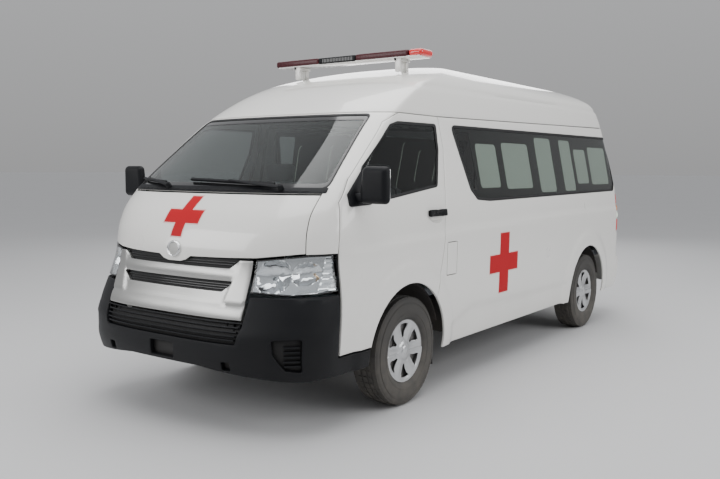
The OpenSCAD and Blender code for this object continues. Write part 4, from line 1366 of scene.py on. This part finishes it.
def pull_handle(name, low_y, high_y, z, body, side=1, surface=skin, height=30.0):
    """A pull bar on two feet, laid along a surface."""
    parts = []
    for a, b, c, d, lift, thick in (
            (low_y, high_y, z - height / 2, z + height / 2, 24, 13),
            (low_y + 4, low_y + 26, z - height / 2 + 4, z + height / 2 - 4, 13, 26),
            (high_y - 26, high_y - 4, z - height / 2 + 4, z + height / 2 - 4, 13, 26)):
        corners = rounded(rectangle(a, c, b, d), 9)
        loop = (from_side(corners, side, 14) if surface is skin else from_rear(corners, 14))
        parts.append(sheet([loop], 4.5, thick, lift, 18, surface))
    return fitting(name, parts, moulded, body=body)


pull_handle("door_handle_left", -1294, -1082, 1190, "front_door_left", height=44)
pull_handle("door_handle_right", -1294, -1082, 1190, "front_door_right", -1, height=44)
pull_handle("sliding_door_handle", -860, -660, 1165, "body", -1)
pull_handle("tailgate_handle", -95, 95, 905, "tailgate", 1, skin_rear)


def seal_and_gap_shade_ring(name, loop, side=1, surface=skin):
    """A dark sheet on the body, under a shut gap and a little wider than it on both sides: partly
    rubber seal, partly painted shade in the gap.
    """
    ring = [grown(loop, d) * (side, 1) for d in (9, -11)]
    return fitting(name, [sheet(ring, 1, 3, -15, 80, surface)], seal)


door_ring = one_loop(along_side([
    (-2227, 446), (-2207, 1034), (-2185, 1200), (-2164, 1286), (-2049, 1414), (-1631, 1758),
    (-1535, 1800), (-1460, ROOF_LINE), (-987, ROOF_LINE), (-979, 1602), (-1052, 1274),
    (-1104, 1002), (-1139, 842), (-1160, 720), (-1300, 770), (-1520, 830), (-1750, 780),
    (-1925, 600), (-1990, 446), (-2227, 446)]))
# These dark sheets paint the shade inside the shut gaps, and stand partly for the door rubber.
for side, word in SIDES:
    seal_and_gap_shade_ring(f"door_seal_and_gap_shade_{word}", door_ring, side)
seal_and_gap_shade_ring("sliding_door_seal_and_gap_shade", slide_loop, -1)
seal_and_gap_shade_ring("fuel_lid_seal_and_gap_shade", fuel_loop)
seal_and_gap_shade_ring("tailgate_seal_and_gap_shade", tailgate_loop, 1, skin_rear)
print("doors dressed")

# %% Roof joint, frosted panes and window pillars
# A dark strip under the roof joint gap: partly the joint's black rubber, partly painted shade in
# the gap.
joint_line = one_loop(along_side([(-1530, ROOF_LINE - 9), (FRONT_AXLE + 560, ROOF_LINE - 9),
                                  (2480, 1881)]),
                      along_side([(2480, 1901), (FRONT_AXLE + 560, ROOF_LINE + 11),
                                  (-1530, ROOF_LINE + 11)]))
piece("roof_joint_filler_and_shade", both_sides(joint_line, skin, gap=0, edge=1, thick=3, lift=-13, grid=80),
      seal, "body", ())
# The frosted material glows: its emission is painted light that stands for the lit inside behind
# the panes, not a lamp.
glowing_frosted = finish("glowing_frosted_pane", (0.50, 0.56, 0.49), (0.40, 0.46, 0.40), 0.75, 3, 0.8, 300, 0.3,
                 0, 0.0002, Emission_Color=(0.50, 0.57, 0.48, 1), Emission_Strength=0.9)
pillar_trim = finish("window_pillar_trim", (0.050, 0.046, 0.042), (0.085, 0.070, 0.060), 0.7, 3,
                     0.7, 500, 0.6, 0, 0.0004)
FROSTED = [(-490, 1342, -160, 1662), (-62, 1328, 424, 1680), (572, 1290, 912, 1740),
           (1100, 1290, 1362, 1736), (1424, 1350, 1724, 1662), (1792, 1338, 2270, 1690)]
frost_loops = [from_side(rounded(rectangle(*r), 34)) for r in FROSTED]
quarter = from_side(rounded([(-760, 1735), (-560, 1735), (-545, 1330), (-640, 1330)], 20))
inner_window = grown(window_loop, -6)
for side, word in SIDES:
    loops = [loop * (side, 1) for loop in (inner_window, quarter, *frost_loops)]
    fitting(f"window_pillars_{word}", [sheet(loops, 2, 5, -15, 70)], pillar_trim)
    # The frosted panes take the glowing material, so their brightness is painted light.
    for name, wider, thick, lift, material, slot in (
            ("glowing_frosted_panes", 7, 4, -21, glowing_frosted, "window_glass"),
            ("window_blinds", 9, 3, -26, pillar_trim, "trim")):
        panes = [sheet([grown(loop, wider) * (side, 1)], 1, thick, lift, 70)
                 for loop in frost_loops]
        fitting(f"{name}_{word}", panes, material)
print("windows dressed")

# %% [markdown]
# ## Wheels
#
# The tyre is a turned section with grooves, and its tread blocks are one block put
# round the axle by the ring tree. The cover is a dished sheet with six openings, cut
# the same way as the body's panels.

# %% Tyres
GROOVE_DEPTH = 7.0
RUN_FLAT = WHEEL_R - GROOVE_DEPTH
section = [(197, -74), (204, -84), (225, -94), (250, -97.5), (285, -97), (312, -93), (328, -86),
           (RUN_FLAT, -76), (RUN_FLAT, 76), (328, 86), (312, 93), (285, 97), (250, 97.5),
           (225, 94), (204, 84), (197, 74)]
tread = [turned(section, 96)]
for at, wide, count in ((-72, 22, 60), (-37, 22, 48), (0, 30, 48), (37, 22, 48), (72, 22, 60)):
    long = 2 * np.pi * WHEEL_R / count - 5
    crown = WHEEL_R - 0.9 - (5 if abs(at) > 60 else 0)
    tread_block = block((at - wide / 2, -long / 2, RUN_FLAT - 6),
                        (at + wide / 2, long / 2, crown), 1.4, 1)
    tread.append(repeated(tread_block, "ring", tyre_rubber, count))
for at in (-96.6, 96.6):
    for r in (240, 300):
        tread.append(turned([(r - 2, at - 0.8), (r + 2, at - 0.8), (r + 2, at + 0.8),
                             (r - 2, at + 0.8)], 72))
tyre_mesh = joined(*tread)
print("tyre", len(tyre_mesh[1]), "faces")


# %% Wheel covers
def cover_surface(u, v):
    """The dished face of a wheel cover: u and v lie in the wheel's plane."""
    r = np.hypot(u, v)
    turn = np.arctan2(v, u)
    out = np.interp(r, [0, 30, 52, 62, 100, 150, 176, 186, 194, 200],
                    [79, 78, 74, 66, 60, 62, 68, 74, 76, 72])
    spoke = np.cos(6 * turn)
    ridge = 7 * ease((spoke - 0.05) / 0.9) * ease((r - 55) / 40) * ease((186 - r) / 26)
    edge = 4 * np.exp(-(((spoke + 0.05) / 0.16) ** 2)) * ease((r - 62) / 20) * ease((184 - r) / 16)
    return np.stack([out + ridge + edge, u, v], -1)


def opening(turn):
    """One of the six openings between the spokes."""
    def at(r, degrees):
        return r * np.cos(np.radians(degrees)), r * np.sin(np.radians(degrees))

    outwards = ((84.0, 5.0), (118, 8.5), (170.0, 15.5))
    going = [at(r, turn - half) for r, half in outwards]
    arc = [at(outwards[-1][0], turn + h) for h in (-8, 0, 8)]
    coming = [at(r, turn + half) for r, half in reversed(outwards)]
    return dense(rounded(going + arc + coming, 7, 3), 8)


cover_loops = [circle(0, 0, 197, 96)] + [opening(30 + 60 * k) for k in range(6)]
cover = outward(sheet(cover_loops, 2.5, 6, 0.0, 9, cover_surface))
barrel = turned([(185, -76), (197.5, -80), (200, -74), (196, -70), (196, 66), (200, 72),
                 (197.5, 78), (190, 74), (186, 66), (184, 0)], 72)
back_plate = turned([(0, 30), (60, 30), (120, 42), (184, 44), (184, 40), (120, 36), (60, 24),
                     (0, 24)], 48)
hub_tube = turned([(0, 5), (58, 5), (58, 26), (0, 26)], 36)
nut = repeated(turned([(0, 0), (10, 0), (10, 14), (0, 16)], 6), "row", cast, 1)
nuts = (np.array(nut[0]) + (0.030, 0, 0.085), nut[1])
nuts = repeated(nuts, "ring", cast, 6)
cap = turned([(0, 76), (34, 76), (34, 80), (28, 84), (0, 86)], 40)


def at_wheel(mesh, side, y):
    """A wheel's piece, turned to its side and moved to its axle."""
    points, faces = mesh if side == 1 else mirrored(mesh)
    return np.asarray(points) + np.array((side * 827.5, y, WHEEL_R)) * MM, faces


for side, word in SIDES:
    for y, axle in ((FRONT_AXLE, "front"), (REAR_AXLE, "rear")):
        body, tag = f"wheel_{axle}_{word}", f"{axle}_{word}"
        piece(f"tyre_{tag}_tread", at_wheel(tyre_mesh, side, y), tyre_rubber, body,
              [f"tyre_{tag}"])
        piece(f"cover_{tag}", at_wheel(joined(cover, cap), side, y), wheel_silver, body,
              [f"rim_{tag}"], sharp=40)
        piece(f"steel_rim_{tag}", at_wheel(joined(barrel, back_plate, hub_tube, nuts), side, y),
              cast, body, ())
print("4 wheels")

# %% [markdown]
# ## Roof bar, wipers and tail lamps
#
# The bar has dark red lenses on both sides of a black speaker box, a bright end cap
# and a white tray. Fine ribs on the lenses are one rib in a row.

# %% Roof bar
maroon = finish("maroon_lens", (0.055, 0.003, 0.007), (0.03, 0.002, 0.004), 0.34, 6, 0.4, 200, 0.2,
                0, 0.0002, Coat_Weight=0.15, Coat_Roughness=0.10, Specular_IOR_Level=0.3)
bright_red = finish("bright_red_lens", (0.62, 0.010, 0.012), (0.50, 0.008, 0.010), 0.16, 6, 0.3,
                    200, 0.2, 0, 0.0002, Coat_Weight=0.8, Coat_Roughness=0.04,
                    Emission_Color=(0.6, 0.01, 0.01, 1), Emission_Strength=0.12)
BAR_Y, BAR_FOOT, BAR_TOP = (-963, -797), 2248, 2294
lenses = joined(block((-657, BAR_Y[0], BAR_FOOT), (-238, BAR_Y[1], BAR_TOP), 15, 4),
                block((98, BAR_Y[0], BAR_FOOT), (548, BAR_Y[1], BAR_TOP), 15, 4))
piece("bar_lenses", lenses, maroon, "body", ["light_bar"])
rib = block((0, BAR_Y[0] - 1.2, BAR_FOOT + 12), (4, BAR_Y[1] + 1.2, BAR_TOP - 14), 1, 1)
rib_sets = []
for start, count in ((-640, 17), (116, 18)):
    moved = (rib[0] + (start * MM, 0, 0), rib[1])
    rib_sets.append(repeated(moved, "row", maroon, count, (24, 0, 0)))
fitting("bar_lens_ribs", rib_sets, maroon)
piece("bar_end_cap", block((550, BAR_Y[0], BAR_FOOT - 2), (659, BAR_Y[1], BAR_TOP + 1), 22, 5),
      bright_red, "body", ())
piece("bar_speaker", block((-240, -960, 2246), (100, -800, 2291), 8, 3), moulded, "body", ())
slots = repeated(block((-200, -961.5, 2256), (-192, -958, 2282), 1, 1), "row", gloss_black, 20,
                 (14, 0, 0))
piece("bar_speaker_slots", slots, gloss_black, "body", ())
tray = block((-640, -955, 2241), (640, -805, 2252), 4, 2)
piece("bar_tray", tray, paint, "body", ())
feet = []
for side in (1, -1):
    for y in (-930, -850):
        feet.append(block((side * 455 - 22, y - 16, 2150), (side * 455 + 22, y + 16, 2243), 5, 2))
    feet.append(block((side * 455 - 27, -945, 2222), (side * 455 + 27, -820, 2240), 5, 2))
piece("bar_feet", joined(*feet), paint, "body", ["light_bar_feet"])
straps = [block((side * 455 - 25, -955, 2226), (side * 455 - 13, -805, 2244), 2, 2)
          for side in (1, -1)]
fitting("bar_straps", straps, seal)
print("roof bar made")


# %% Wipers
def laid_bar(x0, z0, x1, z1, wide, lift, thick, taper=1.0):
    """A flat bar on the skin between two points seen from the front."""
    a, b = np.array((x0, z0), float), np.array((x1, z1), float)
    d = (b - a) / np.linalg.norm(b - a)
    n = np.array((-d[1], d[0])) * wide / 2
    loop = from_front(np.array([a - n, b - n * taper, b + n * taper, a + n]), 24)
    return sheet([loop], 2, thick, lift)


wiper_parts = []
for tip_x, pivot_x in ((-770, -330), (-175, 560)):
    wiper_parts.append(laid_bar(tip_x, 1394, pivot_x - 60, 1374, 7, 18, 12, 1))
    wiper_parts.append(laid_bar(tip_x, 1394, pivot_x - 60, 1374, 11, 22, 4, 1))
    middle = (tip_x + pivot_x - 60) / 2
    wiper_parts.append(laid_bar(middle, 1385, pivot_x, 1352, 9, 28, 6, 1.7))
    spot, normal = facing(skin, float(run_at_front(pivot_x, 1352)), 1352)
    wiper_parts.append(aimed(turned([(0, 2), (17, 2), (17, 30), (12, 38), (0, 40)], 24), spot,
                             normal))
piece("wiper_set", joined(*wiper_parts), moulded, "body", ["wipers"])

# %% Tail lamps and plate holders
reds, ambers, whites = [], [], []
for low, high, group in ((LAMP_FOOT + 4, 985, reds), (991, 1060, whites), (1066, 1130, ambers),
                         (1136, LAMP_HEAD - 4, reds)):
    part = one_loop(along_tail([(LAMP_INNER + 4, low), (LAMP_INNER + 4, high)]),
                    along_side([(TAIL - 326, high), (TAIL - 326, low)]))
    group.append(both_sides(part, skin, gap=0, edge=4, thick=10, lift=1, grid=26))
piece("tail_lamp_red", joined(*reds), bright_red, "body", ["tail_lamps"])
fitting("tail_lamp_white", whites, glowing_frosted)
amber_block = finish("amber_lens_block", (0.72, 0.22, 0.015), (0.62, 0.18, 0.012), 0.16, 6, 0.3,
                     200, 0.2, 0, 0.0002, Coat_Weight=0.8, Coat_Roughness=0.04)
fitting("tail_lamp_amber", ambers, amber_block)
piece("tail_lamp_trays", both_sides(lamp_loop, skin, gap=2, edge=1, thick=3, lift=-12, grid=60),
      gloss_black, "body", ())

for name, corners, material, slot, lift, thick, r, edge in (
        ("rear_plate_holder", (-275, 690, 275, 825), moulded, "black_plastic", 5, 6, 8, 2),
        ("rear_blank_plate", (-260, 702, 260, 813), silver, "bright_plate", 7, 3, 6, 1),
        ("tailgate_garnish", (-330, 850, 330, 880), silver, "bright_plate", 12, 14, 10, 5),
        ("high_brake_lamp", (-150, 1822, 150, 1848), bright_red, "lamp_red", 8, 10, 8, 4),
        ("rear_wiper_blade", (-330, 1322, 60, 1331), moulded, "black_plastic", 16, 12, 3, 2),
        ("rear_wiper_arm", (-130, 1262, -112, 1332), moulded, "black_plastic", 22, 8, 4, 2)):
    loop = from_rear(rounded(rectangle(*corners), r), 16)
    fitting(name, [sheet([loop], edge, thick, lift, 40, skin_rear)], material, "tailgate")
print("tail dressed")

# %% [markdown]
# ## Padded seats, bench and mattress
#
# Each cushion is a closed block whose grid is fine beside its seams. The faces between
# two seams are crowned, the seams pull the cover in, and piping runs round the top.

# %% Cushions
SEAM_TICKS = (-18, -11, -6, -3, 0, 3, 6, 11, 18)
SWELL, PRESSURE, FRAMES = 4.0, 4.0, 20
seat_cloth = finish("seat_cloth", (0.085, 0.088, 0.095), (0.12, 0.12, 0.125), 0.88, 40, 0.7, 900,
                    1.0, 0, 0.0012, Sheen_Weight=0.5, Sheen_Roughness=0.6)
pad_vinyl = finish("pad_vinyl", (0.045, 0.10, 0.17), (0.035, 0.075, 0.13), 0.44, 12, 0.5, 420,
                   1.0, 0, 0.0006)
mattress_vinyl = finish("mattress_vinyl", (0.52, 0.18, 0.03), (0.42, 0.14, 0.025), 0.46, 12, 0.5,
                        420, 1.0, 0, 0.0006)


def box_grid(xs, ys, zs):
    """The surface of a box with its vertices on the given ticks."""
    ticks, index, points, faces = (xs, ys, zs), {}, [], []
    for axis in range(3):
        a, b = [n for n in range(3) if n != axis]
        for end in (0, len(ticks[axis]) - 1):
            turned_back = (end == 0) != (axis == 1)
            for i in range(len(ticks[a]) - 1):
                for j in range(len(ticks[b]) - 1):
                    quad = []
                    for di, dj in ((0, 0), (1, 0), (1, 1), (0, 1)):
                        key = [0, 0, 0]
                        key[axis], key[a], key[b] = end, i + di, j + dj
                        key = tuple(key)
                        if key not in index:
                            index[key] = len(points)
                            points.append([ticks[n][key[n]] for n in range(3)])
                        quad.append(index[key])
                    faces.append(tuple(reversed(quad)) if turned_back else tuple(quad))
    return np.array(points), faces


def cushion(low, high, r=26.0, crown=12.0, puff=7.0, depth=7.0, seams_x=(), seams_y=()):
    """A padded block in millimetres that stays between its two corners, with the share by
    which each point is held still by a seam or by the board below."""
    low, high = np.array(low, float) + SWELL, np.array(high, float) - SWELL
    mid, half = (low + high) / 2, (high - low) / 2
    r = min(r, half.min() * 0.98)
    seams = (np.array(seams_x, float) - mid[0], np.array(seams_y, float) - mid[1], np.array([]))
    ticks = []
    for h, lines in zip(half, seams):
        even = np.linspace(-1, 1, max(9, int(2 * h / 20)))
        near = [line + d for line in lines for d in SEAM_TICKS]
        ticks.append(np.unique(np.round(np.concatenate(
            [h * (0.45 * even + 0.55 * np.sin(even * np.pi / 2)), near]), 2)))
    p, faces = box_grid(*ticks)
    core = np.clip(p, r - half, half - r)
    away = p - core
    p = core + away / np.linalg.norm(away, axis=1, keepdims=True) * r
    top = np.clip(p[:, 2] / half[2], 0, 1)
    flat, pull = np.ones(len(p)), np.zeros(len(p))
    local = np.ones(len(p))
    for axis in (0, 1):
        flat *= 1 - (p[:, axis] / half[axis]) ** 2
        stops = np.concatenate([[-half[axis]], seams[axis], [half[axis]]])
        cell = np.clip(np.searchsorted(stops, p[:, axis]) - 1, 0, len(stops) - 2)
        t = 2 * (p[:, axis] - stops[cell]) / (stops[cell + 1] - stops[cell]) - 1
        local *= 1 - np.abs(t) ** 3
        for line in seams[axis]:
            groove = np.exp(-((p[:, axis] - line) / 5.0) ** 2)
            pull = np.maximum(pull, groove)
            p[:, 1 - axis] *= 1 - 0.5 * depth * groove / half[1 - axis]
    p[:, 2] -= top * (crown * (1 - flat) + puff * (1 - local) + depth * pull)
    held = np.maximum(pull, (p[:, 2] < 3 - half[2]).astype(float))
    return (p + mid) * MM, faces, held


def piping(low, high, r=26.0, crown=12.0, puff=7.0, bead=4.0):
    """The welt round the top of a cushion of the same corners."""
    low, high = np.array(low, float), np.array(high, float)
    inset = 0.29 * min(r, (high - low).min() / 2)
    a, b = low + inset, high - inset
    loop = dense(rounded(rectangle(a[0], a[1], b[0], b[1]), r), 26)
    loop = np.concatenate([loop, loop[:2]])
    level = np.full(len(loop), high[2] - crown - puff - inset)
    return tube(np.column_stack([loop, level]), bead, 8)


def upright(mesh, x, y, z, thick, lean):
    """A cushion built flat, stood up as a seat's back and leaned away from the nose."""
    p = np.asarray(mesh[0]) / MM
    side, deep, up_by = p[:, 0], thick - p[:, 2], p[:, 1]
    c, sn = np.cos(np.radians(lean)), np.sin(np.radians(lean))
    return np.column_stack([side + x, y + deep * c + up_by * sn,
                            z - deep * sn + up_by * c]) * MM, *mesh[1:]


def blown(thing, held):
    """Lets the cover swell like cloth under pressure, by no more than the room left for it."""
    group = thing.vertex_groups.new(name="held")
    for i in np.nonzero(held > 0.35)[0]:
        group.add([int(i)], float(min(1.0, held[i])), "REPLACE")
    cloth = thing.modifiers.new("cloth", "CLOTH")
    cloth.settings.use_pressure = True
    cloth.settings.uniform_pressure_force = PRESSURE
    cloth.settings.effector_weights.gravity = 0
    cloth.settings.vertex_group_mass = "held"
    cloth.point_cache.frame_start, cloth.point_cache.frame_end = 1, FRAMES
    for number in range(1, FRAMES + 1):
        bpy.context.scene.frame_set(number)
    swollen = thing.evaluated_get(bpy.context.evaluated_depsgraph_get()).data
    before = np.array([v.co for v in thing.data.vertices])
    move = np.array([v.co for v in swollen.vertices]) - before
    length = np.linalg.norm(move, axis=1, keepdims=True)
    move *= np.minimum(1, SWELL * MM / np.maximum(length, 1e-9))
    thing.modifiers.remove(cloth)
    thing.vertex_groups.clear()
    thing.data.vertices.foreach_set("co", (before + move).ravel())
    thing.data.update()
    bpy.context.scene.frame_set(1)


def pad(name, mesh, material, stands_for=(), body="body"):
    thing = piece(name, mesh[:2], material, body, stands_for, 60)
    blown(thing, mesh[2])
    return thing


for x, word in ((420, "left"), (-420, "right")):
    corners = (x - 238, FRONT_AXLE - 328, 842), (x + 238, FRONT_AXLE + 150, 959)
    sides = (x - 150, x + 150)
    pad(f"seat_cushion_{word}", cushion(*corners, 34, 12, 8, 8, sides, (FRONT_AXLE - 190,)),
        seat_cloth, ["front_seats"] if x > 0 else ())
    piece(f"seat_piping_{word}", piping(*corners, 34, 12, 8), seal, "body", ())
    plinth = block((x - 205, FRONT_AXLE - 300, 821), (x + 205, FRONT_AXLE + 140, 856), 8, 2)
    rails = [block((x + d - 15, FRONT_AXLE - 310, 820), (x + d + 15, FRONT_AXLE + 150, 836), 3, 1)
             for d in (-180, 180)]
    posts = []
    for d in (-70, 70):
        bar = turned([(0, 430), (6, 430), (6, 500), (0, 500)], 14)
        flat_bar = aimed(bar, (d, 0, 60), (0, 1, 0))
        posts.append(upright(flat_bar, x, FRONT_AXLE + 160, 920, 120, 12))
    piece(f"seat_frame_{word}", joined(plinth, *rails, *posts), frame_black, "body", ())
    back_low, back_high = (-232, 6, 2), (232, 455, 118)
    place = (x, FRONT_AXLE + 160, 920, 120, 12)
    pad(f"seat_back_{word}", upright(cushion(back_low, back_high, 36, 12, 8, 8, (-150, 150),
                                             (150, 290)), *place), seat_cloth)
    piece(f"seat_back_piping_{word}", upright(piping(back_low, back_high, 36, 12, 8), *place),
          seal, "body", ())
    pad(f"headrest_{word}", upright(cushion((-130, 478, 14), (130, 614, 108), 34, 10, 4, 5),
                                    *place), seat_cloth)
print("2 seats in 6 padded pieces")

# %% Bench and cabinet
BENCH_X, BENCH_Y = (461, 839), (91, 2189)
bench_box = block((BENCH_X[0] + 12, BENCH_Y[0] + 8, 851), (BENCH_X[1], BENCH_Y[1] - 8, 1046), 4, 2)
bench_doors = []
for k in range(3):
    start = BENCH_Y[0] + 30 + k * 690
    bench_doors.append(block((BENCH_X[0] + 4, start, 866), (BENCH_X[0] + 16, start + 660, 1034),
                             3, 2))
bench_plinth = [block((480, a, low), (826, b, 853), 3, 1) for a, b, low in
                ((110, 1120, 701), (1118, 2062, 786), (2060, 2180, 701))]
piece("bench_box", joined(bench_box, *bench_doors, *bench_plinth), board, "body",
      ["attendant_bench"])
for k in range(3):
    low = (BENCH_X[0], BENCH_Y[0] + k * 700, 1044)
    high = (BENCH_X[1], BENCH_Y[0] + k * 700 + 696, 1129)
    pad(f"bench_cushion_{k + 1}", cushion(low, high, 28, 10, 7, 7, (650,), (low[1] + 348,)),
        pad_vinyl, ())
    piece(f"bench_piping_{k + 1}", piping(low, high, 28, 10, 7), seal, "body", ())
latch = block((BENCH_X[0] + 1, 400, 1010), (BENCH_X[0] + 6, 470, 1022), 2, 2)
piece("bench_latches", repeated(latch, "row", bare_steel, 3, (0, 690, 0)), bare_steel, "body",
      ())

cabinet_parts = [block((-809, 1111, 851), (-522, 2189, 1238), 4, 2),
                 block((-809, 1111, 1236), (-512, 2189, 1259), 6, 3),
                 block((-806, 1128, 786), (-530, 2062, 853), 3, 1),
                 block((-806, 2060, 701), (-530, 2180, 853), 3, 1)]
for k in range(4):
    start = 1126 + k * 265
    cabinet_parts.append(block((-526, start, 868), (-513, start + 253, 1228), 4, 2))
piece("cabinet_carcass", joined(*cabinet_parts), board, "body", ["cabinet"])
edge_bar = block((-513.5, 1340, 1080), (-510.4, 1352, 1180), 1.4, 2)
piece("cabinet_grips", repeated(edge_bar, "row", bare_steel, 4, (0, 265, 0)), bare_steel, "body",
      ())
print("bench and cabinet made")

# %% Stretcher
frame_bars = []
for x in (-254, 254):
    frame_bars.append(tube([(x, 176, 1047), (x, 700, 1047), (x, 1400, 1047), (x, 2004, 1047)],
                           13, 14))
    for y in (390, 1790):
        leg_x = np.sign(x) * 235
        frame_bars.append(block((leg_x - 14, y - 14, 778), (leg_x + 14, y + 14, 1046), 4, 2))
        frame_bars.append(block((leg_x - 15, y - 15, 735), (leg_x - 9, y + 15, 790), 2, 1))
        frame_bars.append(block((leg_x + 9, y - 15, 735), (leg_x + 15, y + 15, 790), 2, 1))
    frame_bars.append(tube([(x * 0.925, 390, 800), (x * 0.925, 1100, 800), (x * 0.925, 1790, 800)],
                           10, 12))
for y in (176, 2004, 390, 1790, 900):
    frame_bars.append(tube([(-254, y, 1047), (0, y, 1047), (254, y, 1047)], 11, 12))
for y in (390, 1790):
    frame_bars.append(tube([(-235, y, 800), (0, y, 800), (235, y, 800)], 9, 12))
piece("stretcher_frame_bars", joined(*frame_bars), bare_steel, "body", ["stretcher"])
castor = turned([(0, -8), (30, -8), (37, -5), (37, 5), (30, 8), (0, 8)], 28)
castors = [(np.asarray(castor[0]) + np.array((x, y, 739)) * MM, castor[1])
           for x in (-235, 235) for y in (390, 1790)]
fitting("stretcher_castors", castors, tyre_rubber)
deck = block((-240, 190, 1046), (240, 1990, 1054), 3, 2)
piece("stretcher_deck", deck, cast, "body", ())
for k, (a, b) in enumerate(((170, 880), (884, 1330), (1334, 2010))):
    low, high = (-262, a, 1054), (262, b, 1099)
    pad(f"mattress_{k + 1}", cushion(low, high, 20, 5, 4, 5, (-150, 150), ((a + b) / 2,)),
        mattress_vinyl, ())
straps = []
for y in (560, 1250, 1700):
    straps.append(block((-264, y - 24, 1096.0), (264, y + 24, 1098.6), 1.2, 1))
    straps.append(block((-30, y - 30, 1097.2), (30, y + 30, 1099.8), 1.2, 1))
fitting("stretcher_straps", straps, seal)
print("stretcher made")

# %% [markdown]
# ## Driver's place and running gear
#
# The steering wheel is turned about its column. The nodes that keep their CAD shape
# get their finish through their material slots.

# %% Steering wheel and dashboard
HUB, TILT = (400, FRONT_AXLE - 375, 1170), np.radians(38)
column = (0, np.sin(TILT), np.cos(TILT))
ring_profile = [(185 + 13.6 * np.cos(t), 13.6 * np.sin(t))
                for t in np.linspace(0, 2 * np.pi, 18, endpoint=False)]
spoke = block((-7, -15, -178), (7, 15, -48), 5, 3)
wheel_parts = joined(
    turned(ring_profile, 72), repeated(spoke, "ring", dark_trim, 3),
    turned([(0, -15), (54, -15), (60, -8), (58, 4), (48, 12), (30, 15), (0, 15)], 40),
    turned([(0, -128), (20, -128), (20, -14), (0, -14)], 24))
piece("steering_wheel_rim", aimed(wheel_parts, HUB, column), dark_trim, "steering_wheel",
      ["steering_wheel"])
hood = joined(block((272, -2132, 1318), (528, -2040, 1394), 22, 4),
              block((-150, -2098, 1010), (150, -2036, 1345), 14, 3))
piece("dash_hood_and_stack", hood, dark_trim, "body", ())
faces_black = joined(block((292, -2046, 1330), (508, -2036, 1382), 8, 2),
                     block((-118, -2040, 1225), (118, -2031, 1325), 6, 2),
                     block((-118, -2040, 1120), (118, -2031, 1205), 6, 2))
piece("dash_faces", faces_black, gloss_black, "body", ())
slats = [repeated(block((x - 55, -2100, 1290), (x + 55, -2082, 1294), 1, 1), "row", gloss_black,
                  5, (0, 0, 9)) for x in (-700, -260, 230, 700)]
fitting("dash_vent_slats", slats, gloss_black)
knobs = turned([(0, 0), (17, 0), (16, 14), (12, 18), (0, 18)], 28)
knob_row = [aimed(knobs, (x, -2033, 1070), (0, 1, 0)) for x in (-75, 0, 75)]
fitting("dash_knobs", knob_row, moulded)

# %% Finishes of the nodes that keep their CAD shape
CAD_FINISH = {"floor_pan": vinyl_floor, "engine": cast, "front_suspension": cast,
              "leaf_springs": cast, "rear_axle": cast, "exhaust": exhaust_steel,
              "knuckle_left": cast, "knuckle_right": cast, "mud_flaps": seal,
              "spare_wheel": tyre_rubber, "dashboard": dark_trim}
for name, node in nodes.items():
    if node.hide_render:
        continue
    for place in node.material_slots:
        place.material = CAD_FINISH.get(name, frame_black)
    print(name, "keeps its CAD shape in", CAD_FINISH.get(name, frame_black).name)
